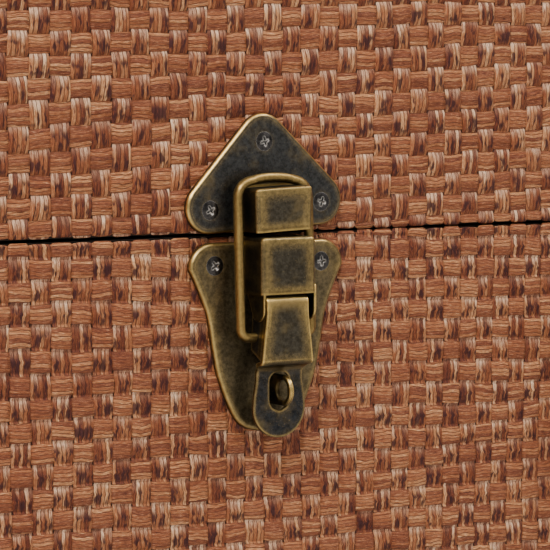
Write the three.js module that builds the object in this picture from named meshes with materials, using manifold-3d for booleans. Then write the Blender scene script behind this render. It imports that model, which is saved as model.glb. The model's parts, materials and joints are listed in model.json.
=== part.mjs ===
// A suitcase record player: a woven-covered case with toggle latches, a carrying handle, a hinged lid,
// and inside it a belt-driven turntable with its tonearm, speakers and controls.
// Millimetres, +Z up, front towards -Y. The origin is under the centre of the whole object.
import * as THREE from 'three';
import { mergeVertices } from 'three/addons/utils/BufferGeometryUtils.js';
import Module from 'manifold-3d';

const wasm = await Module();
wasm.setup();

// ---- Driving dimensions ----

const CASE_WIDTH = 432;
const CASE_DEPTH = 310;
const BASE_HEIGHT = 78;
const LID_HEIGHT = 58;
const FOOT_HEIGHT = 8;
const SEAM_GAP = 0.6;
const CORNER_RADIUS = 14;
const EDGE_RADIUS = 5;
const WALL = 8;
const CLOTH = 1.2;
const GAP = 0.3; // clearance left between touching pieces

const DECK_TOP = 78;
const DECK_THICKNESS = 3;
const LINER_TOP = 90;
const LINER_WALL = 3;

const PLATTER = { x: -30, y: 0, radius: 108, bottom: 81, top: 91, hub: 4, driveRadius: 69 };
const MAT_THICKNESS = 2;
const SPINDLE_RADIUS = 3.58;
const SPINDLE_TOP = 106;
const PULLEY = { distance: 86, angle: THREE.MathUtils.degToRad(125), radius: 6 };
const BELT = { bottom: 82, top: 86, thickness: 1 };

const ARM = { x: 128, y: 88, z: 106, length: 197, radius: 4.5, stubRadius: 1.2 };
const ARM_REST_Y = -30;

const SPEAKER = { x: 172, y: -105, radius: 27 };
const CONTROL_X = 172;
const VOLUME_Y = -50;
const TONE_Y = -10;
const HEADPHONE_Y = 28;
const LAMP_Y = 52;
const SELECTOR = { y: 76, travel: 16 };
const AUTOSTOP = { y: 115, travel: 6 };
const ADAPTER = { x: -172, y: 100, radius: 19 };

const LATCH_X = 130;
const LATCH_SCALE = 0.87; // the latch is drawn 75 mm tall and made 65 mm tall
const STRIKE_TURN = 2.3; // degrees: the left strike plate sits slightly askew
const HANDLE = { bracketX: 45, z: 61, standoff: 9, drop: 28, gripRadius: 7, pinRadius: 1.9 };
const HINGE = { x: 140, standoff: 4, knuckleRadius: 3.6, pinRadius: 1.5, halfWidth: 20, tongue: 6 };
const REAR_PANEL = { halfWidth: 50, bottom: 30, top: 58 };

// ---- Derived places ----

const BASE_TOP = FOOT_HEIGHT + BASE_HEIGHT;
const LID_BOTTOM = BASE_TOP + SEAM_GAP;
const LID_TOP = LID_BOTTOM + LID_HEIGHT;
const SEAM = BASE_TOP + SEAM_GAP / 2;
const FRONT = -CASE_DEPTH / 2;
const BACK = CASE_DEPTH / 2;
const SKIN = CLOTH + GAP; // from the outside of the cloth to the box under it
const BOX_FLOOR = 6.5;
const INNER_WIDTH = CASE_WIDTH - 2 * (SKIN + WALL);
const INNER_DEPTH = CASE_DEPTH - 2 * (SKIN + WALL);
const FLOOR_TOP = FOOT_HEIGHT + SKIN + BOX_FLOOR;
const DECK_BOTTOM = DECK_TOP - DECK_THICKNESS;
const PULLEY_X = PLATTER.x + PULLEY.distance * Math.cos(PULLEY.angle);
const PULLEY_Y = PLATTER.y + PULLEY.distance * Math.sin(PULLEY.angle);
const FRONT_REACH = HANDLE.standoff + HANDLE.gripRadius;
const BACK_REACH = HINGE.standoff + HINGE.knuckleRadius;
const CASE_Y = (FRONT_REACH - BACK_REACH) / 2; // centres the outermost pieces on the origin

// ---- Materials: colour, roughness, metalness ----

const FINISHES = {
  cloth: [0x8a5540, 0.95, 0],
  board: [0x6b4a35, 0.85, 0],
  bronze: [0x4a3523, 0.45, 1],
  steel: [0xb8b8b8, 0.3, 1],
  rubber: [0x1c1b1a, 0.9, 0],
  leather: [0x4b2c1e, 0.6, 0],
  deck: [0x2a2420, 0.5, 0],
  black_plastic: [0x161514, 0.4, 0],
  cream_plastic: [0xd9ccb0, 0.4, 0],
  aluminium: [0xc4c4c2, 0.35, 1],
  felt: [0x2b2523, 1, 0],
  circuit: [0x2d5a3a, 0.6, 0],
  lamp: [0xb03020, 0.2, 0],
};

const player = new THREE.Group();
const caseGroup = new THREE.Group();
caseGroup.position.set(0, CASE_Y, 0);
player.add(caseGroup);

function add(name, finish, geometry, parent = caseGroup) {
  const [color, roughness, metalness] = FINISHES[finish];
  const material = new THREE.MeshStandardMaterial({ color, roughness, metalness });
  const mesh = new THREE.Mesh(geometry, material);
  mesh.name = name;
  parent.add(mesh);
}

// ---- Solids ----

function toSolid(geometry) {
  const bare = geometry.clone();
  bare.deleteAttribute('normal');
  bare.deleteAttribute('uv');
  const merged = mergeVertices(bare, 1e-3);
  const index = merged.index.array;
  const corners = [];
  for (let i = 0; i < index.length; i += 3) {
    const [a, b, c] = [index[i], index[i + 1], index[i + 2]];
    if (a !== b && b !== c && c !== a) corners.push(a, b, c);
  }
  const vertProperties = Float32Array.from(merged.attributes.position.array);
  const triVerts = Uint32Array.from(corners);
  return new wasm.Manifold(new wasm.Mesh({ numProp: 3, vertProperties, triVerts }));
}

function toGeometry(solid) {
  const mesh = solid.getMesh();
  const geometry = new THREE.BufferGeometry();
  geometry.setAttribute('position', new THREE.BufferAttribute(mesh.vertProperties, 3));
  geometry.setIndex(new THREE.BufferAttribute(mesh.triVerts, 1));
  geometry.computeVertexNormals();
  return geometry;
}

const join = (first, ...others) =>
  toGeometry(others.reduce((solid, other) => solid.add(toSolid(other)), toSolid(first)));

const cut = (first, ...tools) =>
  toGeometry(tools.reduce((solid, tool) => solid.subtract(toSolid(tool)), toSolid(first)));

const common = (first, second) => toGeometry(toSolid(first).intersect(toSolid(second)));

function block([x0, x1], [y0, y1], [z0, z1]) {
  const geometry = new THREE.BoxGeometry(x1 - x0, y1 - y0, z1 - z0);
  return geometry.translate((x0 + x1) / 2, (y0 + y1) / 2, (z0 + z1) / 2);
}

// An upright cylinder, or one along X or Y, from one end to the other.
function rod(radius, [low, high], { x = 0, y = 0, z = 0, along = 'z', sides = 24 } = {}) {
  const geometry = new THREE.CylinderGeometry(radius, radius, high - low, sides);
  const middle = (low + high) / 2;
  if (along === 'x') return geometry.rotateZ(Math.PI / 2).translate(middle, y, z);
  if (along === 'y') return geometry.translate(x, middle, z);
  return geometry.rotateX(Math.PI / 2).translate(x, y, middle);
}

// A profile of [radius, height] points, turned about the Z axis.
function turned(profile, { x = 0, y = 0, sides = 32 } = {}) {
  const points = profile.map(([radius, height]) => new THREE.Vector2(radius, height));
  return new THREE.LatheGeometry(points, sides).rotateX(Math.PI / 2).translate(x, y, 0);
}

// The outline stretched round circles given anticlockwise as [x, y, radius].
function outlineAround(circles) {
  const shape = new THREE.Shape();
  const tangentAngle = ([ax, ay, ar], [bx, by, br]) => {
    const length = Math.hypot(bx - ax, by - ay);
    return Math.atan2(by - ay, bx - ax) - Math.acos((ar - br) / length);
  };
  circles.forEach((circle, i) => {
    const before = circles.at(i - 1);
    const after = circles[(i + 1) % circles.length];
    const [x, y, radius] = circle;
    shape.absarc(x, y, radius, tangentAngle(before, circle), tangentAngle(circle, after), false);
  });
  return shape;
}

const roundedRectangle = (width, depth, radius) => {
  const [x, y] = [width / 2 - radius, depth / 2 - radius];
  return outlineAround([[-x, -y, radius], [x, -y, radius], [x, y, radius], [-x, y, radius]]);
};

const capsule = ([ax, ay], [bx, by], radius) => outlineAround([[ax, ay, radius], [bx, by, radius]]);

const circlePath = (x, y, radius) => new THREE.Path().absarc(x, y, radius, 0, 2 * Math.PI, false);

// An outline in X and Y, raised along Z.
const raised = (shape, [low, high], curveSegments = 4) =>
  new THREE.ExtrudeGeometry(shape, { depth: high - low, bevelEnabled: false, curveSegments })
    .translate(0, 0, low);

// An outline in X and Z, standing out from the front (towards -Y) from one height to another.
const facing = (shape, span, curveSegments = 4) => raised(shape, span, curveSegments).rotateX(Math.PI / 2);

// An outline in standoff from the front and Z, stretched along X.
const OUTLINE_SIDEWAYS = new THREE.Matrix4().makeBasis(
  new THREE.Vector3(0, -1, 0), new THREE.Vector3(0, 0, 1), new THREE.Vector3(-1, 0, 0));
const sideways = (shape, [low, high], curveSegments = 4) =>
  raised(shape, [-high, -low], curveSegments).applyMatrix4(OUTLINE_SIDEWAYS);

// A strip of even thickness that follows a line of points.
function stripAlong(points, thickness) {
  const side = (offset) => points.map((point, i) => {
    const from = points[Math.max(i - 1, 0)];
    const to = points[Math.min(i + 1, points.length - 1)];
    const direction = to.clone().sub(from).normalize();
    return new THREE.Vector2(point.x + direction.y * offset, point.y - direction.x * offset);
  });
  return new THREE.Shape([...side(thickness / 2), ...side(-thickness / 2).reverse()]);
}

// A round bar that follows a curve.
function barAlong(curve, radius, sides, steps) {
  const section = new THREE.Shape(
    Array.from({ length: sides }, (_, i) => {
      const angle = (i / sides) * 2 * Math.PI;
      return new THREE.Vector2(radius * Math.cos(angle), radius * Math.sin(angle));
    }));
  return new THREE.ExtrudeGeometry(section, { steps, extrudePath: curve, bevelEnabled: false });
}

// A block with rounded upright corners and rounded lower and upper edges.
function pillow(width, depth, [low, high], radius, edge) {
  return new THREE.ExtrudeGeometry(roundedRectangle(width, depth, radius), {
    depth: high - low - 2 * edge,
    bevelThickness: edge,
    bevelSize: edge,
    bevelOffset: -edge,
    bevelSegments: 2,
    curveSegments: 4,
  }).translate(0, 0, low + edge);
}

// A box with rounded upright corners and rounded lower edges, open at the top.
function openBox({ width, depth, height, radius, edge, wall, floor }) {
  const top = height + 3 * EDGE_RADIUS;
  const [innerWidth, innerDepth] = [width - 2 * wall, depth - 2 * wall];
  const innerEdge = Math.max(edge - wall, 0.2);
  const outer = pillow(width, depth, [0, top], radius, edge);
  const hollow = pillow(innerWidth, innerDepth, [floor, top + 10], radius - wall, innerEdge);
  const above = block([-width, width], [-depth, depth], [height, top + 20]);
  return cut(outer, hollow, above);
}

// ---- Case ----

function addCase() {
  const rearCut = block([-45, 45], [BACK - 20, BACK + 5], [34, 54]);
  const boxBottom = FOOT_HEIGHT + SKIN;
  const cloth = {
    width: CASE_WIDTH,
    depth: CASE_DEPTH,
    radius: CORNER_RADIUS,
    edge: EDGE_RADIUS,
    wall: CLOTH,
    floor: CLOTH,
  };
  const board = {
    width: CASE_WIDTH - 2 * SKIN,
    depth: CASE_DEPTH - 2 * SKIN,
    radius: CORNER_RADIUS - SKIN,
    edge: EDGE_RADIUS - SKIN,
    wall: WALL,
    floor: BOX_FLOOR,
  };

  const tray = openBox({ ...board, height: BASE_TOP - boxBottom }).translate(0, 0, boxBottom);
  const postX = [INNER_WIDTH / 2 - 14, INNER_WIDTH / 2 + 1];
  const postY = [INNER_DEPTH / 2 - 14, INNER_DEPTH / 2 + 1];
  const postZ = [FLOOR_TOP - 1, DECK_BOTTOM - GAP];
  const mirror = ([low, high]) => [-high, -low];
  const posts = [
    block(postX, postY, postZ), block(mirror(postX), postY, postZ),
    block(postX, mirror(postY), postZ), block(mirror(postX), mirror(postY), postZ)];
  add('base_box', 'board', cut(join(tray, ...posts), rearCut));

  const baseCloth = openBox({ ...cloth, height: BASE_HEIGHT }).translate(0, 0, FOOT_HEIGHT);
  add('base_cloth', 'cloth', cut(baseCloth, rearCut));

  const lid = openBox({ ...board, height: LID_HEIGHT - SKIN, floor: WALL })
    .rotateX(Math.PI).translate(0, 0, LID_TOP - SKIN);
  add('lid_box', 'board', lid);
  const lidCloth = openBox({ ...cloth, height: LID_HEIGHT }).rotateX(Math.PI).translate(0, 0, LID_TOP);
  add('lid_cloth', 'cloth', lidCloth);

  const innerRadius = CORNER_RADIUS - SKIN - WALL;
  const linerShape = roundedRectangle(INNER_WIDTH - 2 * GAP, INNER_DEPTH - 2 * GAP, innerRadius);
  const inset = 2 * (GAP + LINER_WALL);
  linerShape.holes.push(roundedRectangle(INNER_WIDTH - inset, INNER_DEPTH - inset, 2));
  add('rim_liner', 'black_plastic', raised(linerShape, [DECK_TOP + GAP, LINER_TOP]));

  const footProfile = [[0, 0], [8.5, 0], [10, 2], [10.5, FOOT_HEIGHT - GAP], [0, FOOT_HEIGHT - GAP]];
  const feet = { front_left: [-1, -1], front_right: [1, -1], back_left: [-1, 1], back_right: [1, 1] };
  for (const [place, [sx, sy]] of Object.entries(feet)) {
    const at = { x: sx * (CASE_WIDTH / 2 - 30), y: sy * (CASE_DEPTH / 2 - 30), sides: 20 };
    add(`foot_${place}`, 'rubber', turned(footProfile, at));
  }
}

// ---- Deck ----

function addDeck() {
  const shape = roundedRectangle(INNER_WIDTH - 2 * GAP, INNER_DEPTH - 2 * GAP, 4);
  for (const sx of [-1, 1]) shape.holes.push(circlePath(sx * SPEAKER.x, SPEAKER.y, 24));
  shape.holes.push(circlePath(PLATTER.x, PLATTER.y, SPINDLE_RADIUS + 0.6));
  shape.holes.push(circlePath(PULLEY_X, PULLEY_Y, 3));
  for (const y of [VOLUME_Y, TONE_Y]) shape.holes.push(circlePath(CONTROL_X, y, 3.6));
  shape.holes.push(circlePath(CONTROL_X, HEADPHONE_Y, 5.4));
  shape.holes.push(circlePath(CONTROL_X, LAMP_Y, 3.6));
  for (const { y, travel } of [SELECTOR, AUTOSTOP]) {
    shape.holes.push(capsule([CONTROL_X, y - travel / 2], [CONTROL_X, y + travel / 2], 2.4));
  }
  const panel = raised(shape, [DECK_BOTTOM, DECK_TOP]);
  const adapterPeg = rod(3.4, [DECK_TOP - 1, DECK_TOP + 6], { ...ADAPTER, sides: 16 });
  add('deck_panel', 'deck', join(panel, adapterPeg));

  const adapterProfile = [[4, 0], [7, 0], [7, 1], [ADAPTER.radius, 1], [ADAPTER.radius, 3.5],
    [7, 3.5], [7, 4.5], [4, 4.5], [4, 0]];
  const adapter = turned(adapterProfile, { ...ADAPTER, sides: 18 }).translate(0, 0, DECK_TOP + GAP);
  add('adapter_45', 'cream_plastic', adapter);

  for (const [side, sx] of [['left', -1], ['right', 1]]) {
    const at = { x: sx * SPEAKER.x, y: SPEAKER.y };
    const cone = [[0, 42], [14, 42], [14, 54], [25, 68], [26, 72], [26, DECK_BOTTOM - GAP],
      [22, DECK_BOTTOM - GAP], [11, 62], [0, 60]];
    add(`speaker_${side}`, 'black_plastic', turned(cone, { ...at, sides: 18 }));

    const rim = turned([[0, 0], [SPEAKER.radius, 0], [SPEAKER.radius, 1.2], [23, 3], [0, 3]],
      { ...at, sides: 24 }).translate(0, 0, DECK_TOP + GAP);
    const slots = [-14, -7, 0, 7, 14].map((dx) => {
      const reach = Math.sqrt(19 ** 2 - dx ** 2);
      const slot = capsule([at.x + dx, at.y - reach], [at.x + dx, at.y + reach], 1.4);
      return raised(slot, [DECK_TOP - 1, DECK_TOP + 8], 2);
    });
    add(`speaker_grille_${side}`, 'black_plastic', cut(rim, ...slots));
  }
}

// ---- Drive ----

function addDrive() {
  const { x, y, radius, bottom, top, hub, driveRadius } = PLATTER;
  const under = top - 3;
  const platterProfile = [
    [hub, bottom + 1], [9, bottom + 1], [9, under], [driveRadius - 4, under], [driveRadius - 4, bottom + 1],
    [driveRadius, bottom + 1], [driveRadius, under], [radius - 4, under], [radius - 4, bottom],
    [radius, bottom], [radius, top - 1.5], [radius - 1.5, top], [hub, top], [hub, bottom + 1]];
  add('platter', 'aluminium', turned(platterProfile, { x, y, sides: 36 }));

  const matTop = top + GAP + MAT_THICKNESS;
  const matProfile = [[hub, top + GAP], [radius - 2, top + GAP], [radius - 2, matTop], [hub, matTop],
    [hub, top + GAP]];
  add('slipmat', 'felt', turned(matProfile, { x, y, sides: 36 }));

  const hung = DECK_BOTTOM - GAP; // the top of what is fixed under the deck
  const spindleProfile = [[0, 56], [11, 56], [11, hung], [SPINDLE_RADIUS, hung],
    [SPINDLE_RADIUS, SPINDLE_TOP - 3], [1.2, SPINDLE_TOP], [0, SPINDLE_TOP]];
  add('spindle', 'steel', turned(spindleProfile, { x, y, sides: 18 }));

  const motorProfile = [[0, 48], [16, 48], [16, hung - 1], [6, hung], [1.5, hung], [1.5, 87], [0, 87]];
  add('motor', 'steel', turned(motorProfile, { x: PULLEY_X, y: PULLEY_Y, sides: 16 }));

  const rim = PULLEY.radius + 1.2;
  const pulleyProfile = [[2, 80], [rim, 80], [rim, 81.2], [PULLEY.radius, 81.6], [PULLEY.radius, 86.2],
    [rim, 86.6], [rim, 87.2], [2, 87.2], [2, 80]];
  add('motor_pulley', 'aluminium', turned(pulleyProfile, { x: PULLEY_X, y: PULLEY_Y, sides: 16 }));

  const inner = GAP + 0.1;
  const outer = inner + BELT.thickness;
  const beltLine = (offset) => outlineAround([
    [x, y, driveRadius + offset], [PULLEY_X, PULLEY_Y, PULLEY.radius + offset]]);
  const belt = beltLine(outer);
  belt.holes.push(beltLine(inner));
  add('drive_belt', 'rubber', raised(belt, [BELT.bottom, BELT.top], 18));
}

// ---- Tonearm ----

function addTonearm() {
  const { x, y, z, length, radius, stubRadius } = ARM;
  const baseProfile = [[0, DECK_TOP + GAP], [17, DECK_TOP + GAP], [17, 87], [13, 89], [13, 95], [0, 95]];
  add('tonearm_base', 'black_plastic', turned(baseProfile, { x, y, sides: 24 }));

  const turntable = rod(11, [95 + GAP, 98], { x, y, sides: 20 });
  const ears = [-1, 1].map((side) => {
    const ear = outlineAround([[-4, 97, 0.8], [4, 97, 0.8], [0, z, 4]]);
    const middle = x + side * 9;
    return sideways(ear, [middle - 1.2, middle + 1.2]).translate(0, y, 0);
  });
  const earHole = rod(stubRadius + 0.4, [x - 20, x + 20], { y, z, along: 'x', sides: 8 });
  add('tonearm_gimbal', 'steel', cut(join(turntable, ...ears), earHole));

  const tube = barAlong(new THREE.LineCurve3(
    new THREE.Vector3(x, y + 14, z), new THREE.Vector3(x, y - length + 24, z)), radius, 12, 1);
  const stubs = rod(stubRadius, [x - 9.8, x + 9.8], { y, z, along: 'x', sides: 8 });
  const weight = rod(9, [y + 13, y + 36], { x, z, along: 'y', sides: 20 });
  const headEnd = y - length;
  const shellShape = outlineAround([[x - 6, headEnd - 8, 2], [x + 6, headEnd - 8, 2],
    [x + 4, headEnd + 26, 1.5], [x - 4, headEnd + 26, 1.5]]);
  const shell = raised(shellShape, [z - 2, z + 3]);
  const fingerLift = block([x + 6, x + 14], [headEnd - 6, headEnd - 3], [z, z + 1.2]);
  add('tonearm', 'cream_plastic', join(tube, stubs, weight, shell, fingerLift));

  const cartridge = block([x - 6, x + 6], [headEnd - 7, headEnd + 10], [97.5, z - 2 - GAP]);
  const notch = block([x - 2.2, x + 2.2], [headEnd - 8, headEnd + 3], [96, 99.5]);
  add('cartridge', 'black_plastic', cut(cartridge, notch));
  const cantilever = block([x - 0.9, x + 0.9], [headEnd - 1.5, headEnd + 2.6], [97.4, 99.1]);
  const tip = turned([[0, 94.8], [0.9, 98], [0, 98]], { x, y: headEnd, sides: 8 });
  add('stylus', 'lamp', join(cantilever, tip));

  addArmRest();
  const leverProfile = outlineAround([[-62, 96, 1.5], [-80, 91.5, 2.4]]);
  const lever = sideways(leverProfile, [x + 19.4, x + 23]);
  const leverPin = rod(1.4, [x + 18.4, x + 20], { y: 80, z: 91.5, along: 'x', sides: 12 });
  add('cue_lever', 'steel', join(lever, leverPin));
}

function addArmRest() {
  const { x, z, radius } = ARM;
  const y = ARM_REST_Y;
  const ledgeTop = z - radius - GAP;
  const clipX = x + 7.1;
  const clipZ = z + 6;
  const post = block([x - 2, x + 9], [y - 5, y + 5], [DECK_TOP + GAP, ledgeTop]);
  const ledge = block([x - 5, x + 9], [y - 5, y + 5], [ledgeTop - 3, ledgeTop]);
  const upstand = block([x + 5.6, x + 8.6], [y - 8, y + 8], [ledgeTop - 3, z + 3]);
  const ears = [y - 8, y + 5.6].map((low) =>
    block([x + 5.2, x + 9], [low, low + 2.4], [z, clipZ + 2.4]));
  const earHole = rod(1.3, [y - 12, y + 12], { x: clipX, z: clipZ, along: 'y', sides: 12 });
  add('tonearm_rest', 'black_plastic', cut(join(post, ledge, upstand, ...ears), earHole));

  const knuckle = rod(1.9, [y - 5.2, y + 5.2], { x: clipX, z: clipZ, along: 'y', sides: 12 });
  const stubs = rod(0.95, [y - 7.6, y + 7.6], { x: clipX, z: clipZ, along: 'y', sides: 12 });
  const strip = block([clipX - 0.8, clipX + 0.8], [y - 4, y + 4], [clipZ, clipZ + 16]);
  const hook = block([x + 1, clipX + 0.8], [y - 4, y + 4], [clipZ + 14.4, clipZ + 16]);
  add('rest_clip', 'black_plastic', join(knuckle, stubs, strip, hook));
}

// ---- Controls ----

function addControls() {
  const shaftBottom = 68;
  const knobBottom = DECK_TOP + 0.8;
  const radius = 12;
  const knobs = { volume_knob: VOLUME_Y, tone_knob: TONE_Y };
  for (const [name, y] of Object.entries(knobs)) {
    const profile = [[0, shaftBottom], [3, shaftBottom], [3, knobBottom], [radius, knobBottom],
      [radius - 1, knobBottom + 12], [radius - 2, knobBottom + 13], [0, knobBottom + 13]];
    add(name, 'cream_plastic', turned(profile, { x: CONTROL_X, y, sides: 20 }));
  }

  const socketProfile = [[3.2, 64], [4.7, 64], [4.7, DECK_TOP + GAP], [7, DECK_TOP + GAP],
    [6.4, DECK_TOP + 2], [3.2, DECK_TOP + 2], [3.2, 64]];
  add('headphone_socket', 'steel', turned(socketProfile, { x: CONTROL_X, y: HEADPHONE_Y, sides: 16 }));

  const lampProfile = [[0, 68], [3, 68], [3, DECK_TOP + GAP], [4, DECK_TOP + GAP], [3.4, DECK_TOP + 2],
    [1.6, DECK_TOP + 3.4], [0, DECK_TOP + 3.8]];
  add('power_lamp', 'lamp', turned(lampProfile, { x: CONTROL_X, y: LAMP_Y, sides: 12 }));

  const sliders = { speed_selector: [SELECTOR, 5], autostop_switch: [AUTOSTOP, 4] };
  for (const [name, [{ y, travel }, halfWidth]] of Object.entries(sliders)) {
    const start = y - travel / 2;
    const stem = block([CONTROL_X - 1.8, CONTROL_X + 1.8], [start - 1.6, start + 1.6], [70, DECK_TOP + 2]);
    const cap = raised(
      capsule([CONTROL_X - halfWidth, start], [CONTROL_X + halfWidth, start], 2.6),
      [DECK_TOP + 0.6, DECK_TOP + 5]);
    add(name, 'cream_plastic', join(stem, cap));
  }
}

// ---- Electronics and the rear panel ----

function addElectronics() {
  const board = block([70, 160], [-60, 50], [22, 23.6]);
  const parts = [
    block([84, 104], [-46, -26], [23, 34]), block([118, 150], [-52, -44], [23, 38]),
    rod(5, [23, 36], { x: 92, y: 6, sides: 12 }), rod(5, [23, 36], { x: 108, y: 6, sides: 12 })];
  const standoffs = [[76, -54], [154, -54], [76, 44], [154, 44]].map(([x, y]) =>
    rod(3, [FLOOR_TOP + GAP, 22.5], { x, y, sides: 8 }));
  add('circuit_board', 'circuit', join(board, ...parts, ...standoffs));

  const { halfWidth, bottom, top } = REAR_PANEL;
  const middle = (bottom + top) / 2;
  const socketX = [-14, 6];
  const inletX = 30;
  const panel = block([-halfWidth, halfWidth], [BACK + GAP, BACK + 1.8], [bottom, top]);
  const openings = [
    ...socketX.map((x) => rod(4.6, [BACK - 5, BACK + 5], { x, z: middle, along: 'y', sides: 20 })),
    rod(5.6, [BACK - 5, BACK + 5], { x: inletX, z: middle, along: 'y', sides: 20 })];
  add('rear_panel', 'black_plastic', cut(panel, ...openings));

  const carrier = block([-22, 14], [BACK - 8, BACK - 5], [middle - 8, middle + 8]);
  const sockets = socketX.map((x) =>
    rod(4.2, [BACK - 6, BACK + BACK_REACH - 1], { x, z: middle, along: 'y', sides: 20 }));
  const bores = socketX.map((x) =>
    rod(1.8, [BACK - 3, BACK + 12], { x, z: middle, along: 'y', sides: 12 }));
  add('rca_sockets', 'steel', cut(join(carrier, ...sockets), ...bores));

  const barrel = rod(5.2, [BACK - 12, BACK + 3], { x: inletX, z: middle, along: 'y', sides: 20 });
  const mouth = rod(3.2, [BACK - 8, BACK + 5], { x: inletX, z: middle, along: 'y', sides: 20 });
  const contact = rod(1, [BACK - 9, BACK + 2], { x: inletX, z: middle, along: 'y', sides: 8 });
  add('dc_inlet', 'black_plastic', join(cut(barrel, mouth), contact));
}

// ---- Latches: drawn about the seam, X from the latch's middle, standing out from the cloth ----

const LATCH = {
  plateTop: 1.4,
  pivot: [6.8, -17.5],
  barrel: 3.4, // outer radius of the lever's rolled top
  front: 10.2, // standoff of the lever's face
  faceTop: -14.6,
  faceEnd: -30.6,
  tabStandoff: 6,
  tabEnd: -47.5,
  sheet: 1,
  anchor: [5.9, -23.5],
  wireRadius: 1,
  legX: 10.6,
  archTop: 13.2,
  archRadius: 27,
  shoulder: 4,
  hook: 2.5,
  slot: [[0, -38.1], [0, -34.3]],
  slotRadius: 2.8,
  eye: [8.7, -36.2],
};
const SCREW_HOLE = 2.4;

function backPlate() {
  const side = new THREE.SplineCurve([
    [21, -7.8], [18.9, -12], [16.2, -18.6], [14.7, -26.7], [12.8, -34.3], [7.8, -43.8], [0, -46.5],
  ].map(([x, z]) => new THREE.Vector2(x, z))).getPoints(12);
  const corner = new THREE.Path().absarc(15, -7.8, 6, Math.PI / 2, 0, true).getPoints(4);
  const right = [...corner, ...side.slice(1)];
  const left = right.slice(0, -1).reverse().map(({ x, y }) => new THREE.Vector2(-x, y));
  const shape = new THREE.Shape([...right, ...left].reverse());
  for (const x of [-15.3, 15.3]) shape.holes.push(circlePath(x, -7, SCREW_HOLE));
  const plate = facing(shape, [GAP, LATCH.plateTop], 5);

  const [pivotY, pivotZ] = LATCH.pivot;
  const [outerX, innerX] = [7.2, 6.4];
  const hood = cut(
    block([-outerX, outerX], [-10, -1], [-14, -1]),
    block([-innerX, innerX], [-9, -LATCH.plateTop], [-15, -2]));
  const lobe = outlineAround([[1.6, -20, 0.5], [pivotY, pivotZ, 3], [9.4, -12, 0.5], [1.6, -8, 0.5]]);
  const lobes = [sideways(lobe, [innerX, outerX]), sideways(lobe, [-outerX, -innerX])];
  const pivotHole = rod(1.6, [-10, 10], { y: -pivotY, z: pivotZ, along: 'x', sides: 12 });
  return cut(join(plate, hood, ...lobes), pivotHole);
}

function strikePlate(turn) {
  const shape = outlineAround([[-15.2, 6.8, 6], [15.2, 6.8, 6], [0, 21.2, 6.5]]);
  for (const [x, z] of [[-15.2, 6.3], [15.2, 6.3], [0, 21.2]]) {
    shape.holes.push(circlePath(x, z, SCREW_HOLE));
  }
  const plate = facing(shape, [GAP, LATCH.plateTop], 5);
  const catchBox = cut(
    block([-7.45, 7.45], [-9, -1], [0.8, 10.6]),
    block([-6.45, 6.45], [-8, -LATCH.plateTop], [0, 9.6]));
  const middle = 9;
  return join(plate, catchBox)
    .translate(0, 0, -middle)
    .rotateY(-THREE.MathUtils.degToRad(turn))
    .translate(0, 0, middle);
}

function lever() {
  const { pivot, barrel, front, faceTop, faceEnd, tabStandoff, tabEnd, sheet, anchor, wireRadius } = LATCH;
  const [pivotY, pivotZ] = pivot;
  const faceLine = front - sheet / 2;
  const line = new THREE.Path();
  line.absarc(pivotY, pivotZ, barrel - sheet / 2, Math.PI / 2, 0, true);
  line.lineTo(faceLine, faceEnd);
  line.bezierCurveTo(faceLine, faceEnd - 2.2, tabStandoff, faceEnd - 1.6, tabStandoff, faceEnd - 4);
  line.lineTo(tabStandoff, tabEnd - 1);
  const strip = sideways(stripAlong(line.getPoints(4), sheet), [-10, 10]);

  const outline = (inset) => {
    const topX = 5.5 - inset;
    const sideX = 7.1 - inset;
    const tabTop = tabEnd + 6;
    const shape = new THREE.Shape();
    shape.moveTo(topX, faceTop + 4);
    shape.lineTo(-topX, faceTop + 4);
    shape.lineTo(-topX, faceTop);
    shape.lineTo(-sideX, faceEnd);
    shape.lineTo(-sideX, tabTop);
    shape.quadraticCurveTo(-sideX, tabEnd, 0, tabEnd);
    shape.quadraticCurveTo(sideX, tabEnd, sideX, tabTop);
    shape.lineTo(sideX, faceEnd);
    shape.lineTo(topX, faceTop);
    return shape;
  };
  const span = [0, 15];
  const wall = outlineAround([[front - 0.5, faceEnd + 0.5, 0.5], [pivotY, pivotZ, barrel], [5.2, -27, 0.7]]);
  const walls = common(
    cut(facing(outline(0), span), facing(outline(sheet), [-1, 16])), sideways(wall, [-10, 10]));
  const slot = facing(capsule(...LATCH.slot, LATCH.slotRadius), span);
  const bailHole = rod(wireRadius + 0.45, [-10, 10], { y: -anchor[0], z: anchor[1], along: 'x', sides: 8 });
  const stubs = rod(1.2, [-7, 7], { y: -pivotY, z: pivotZ, along: 'x', sides: 8 });
  const channel = cut(join(common(strip, facing(outline(0), span)), walls), slot, bailHole);
  return join(channel, stubs);
}

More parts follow.
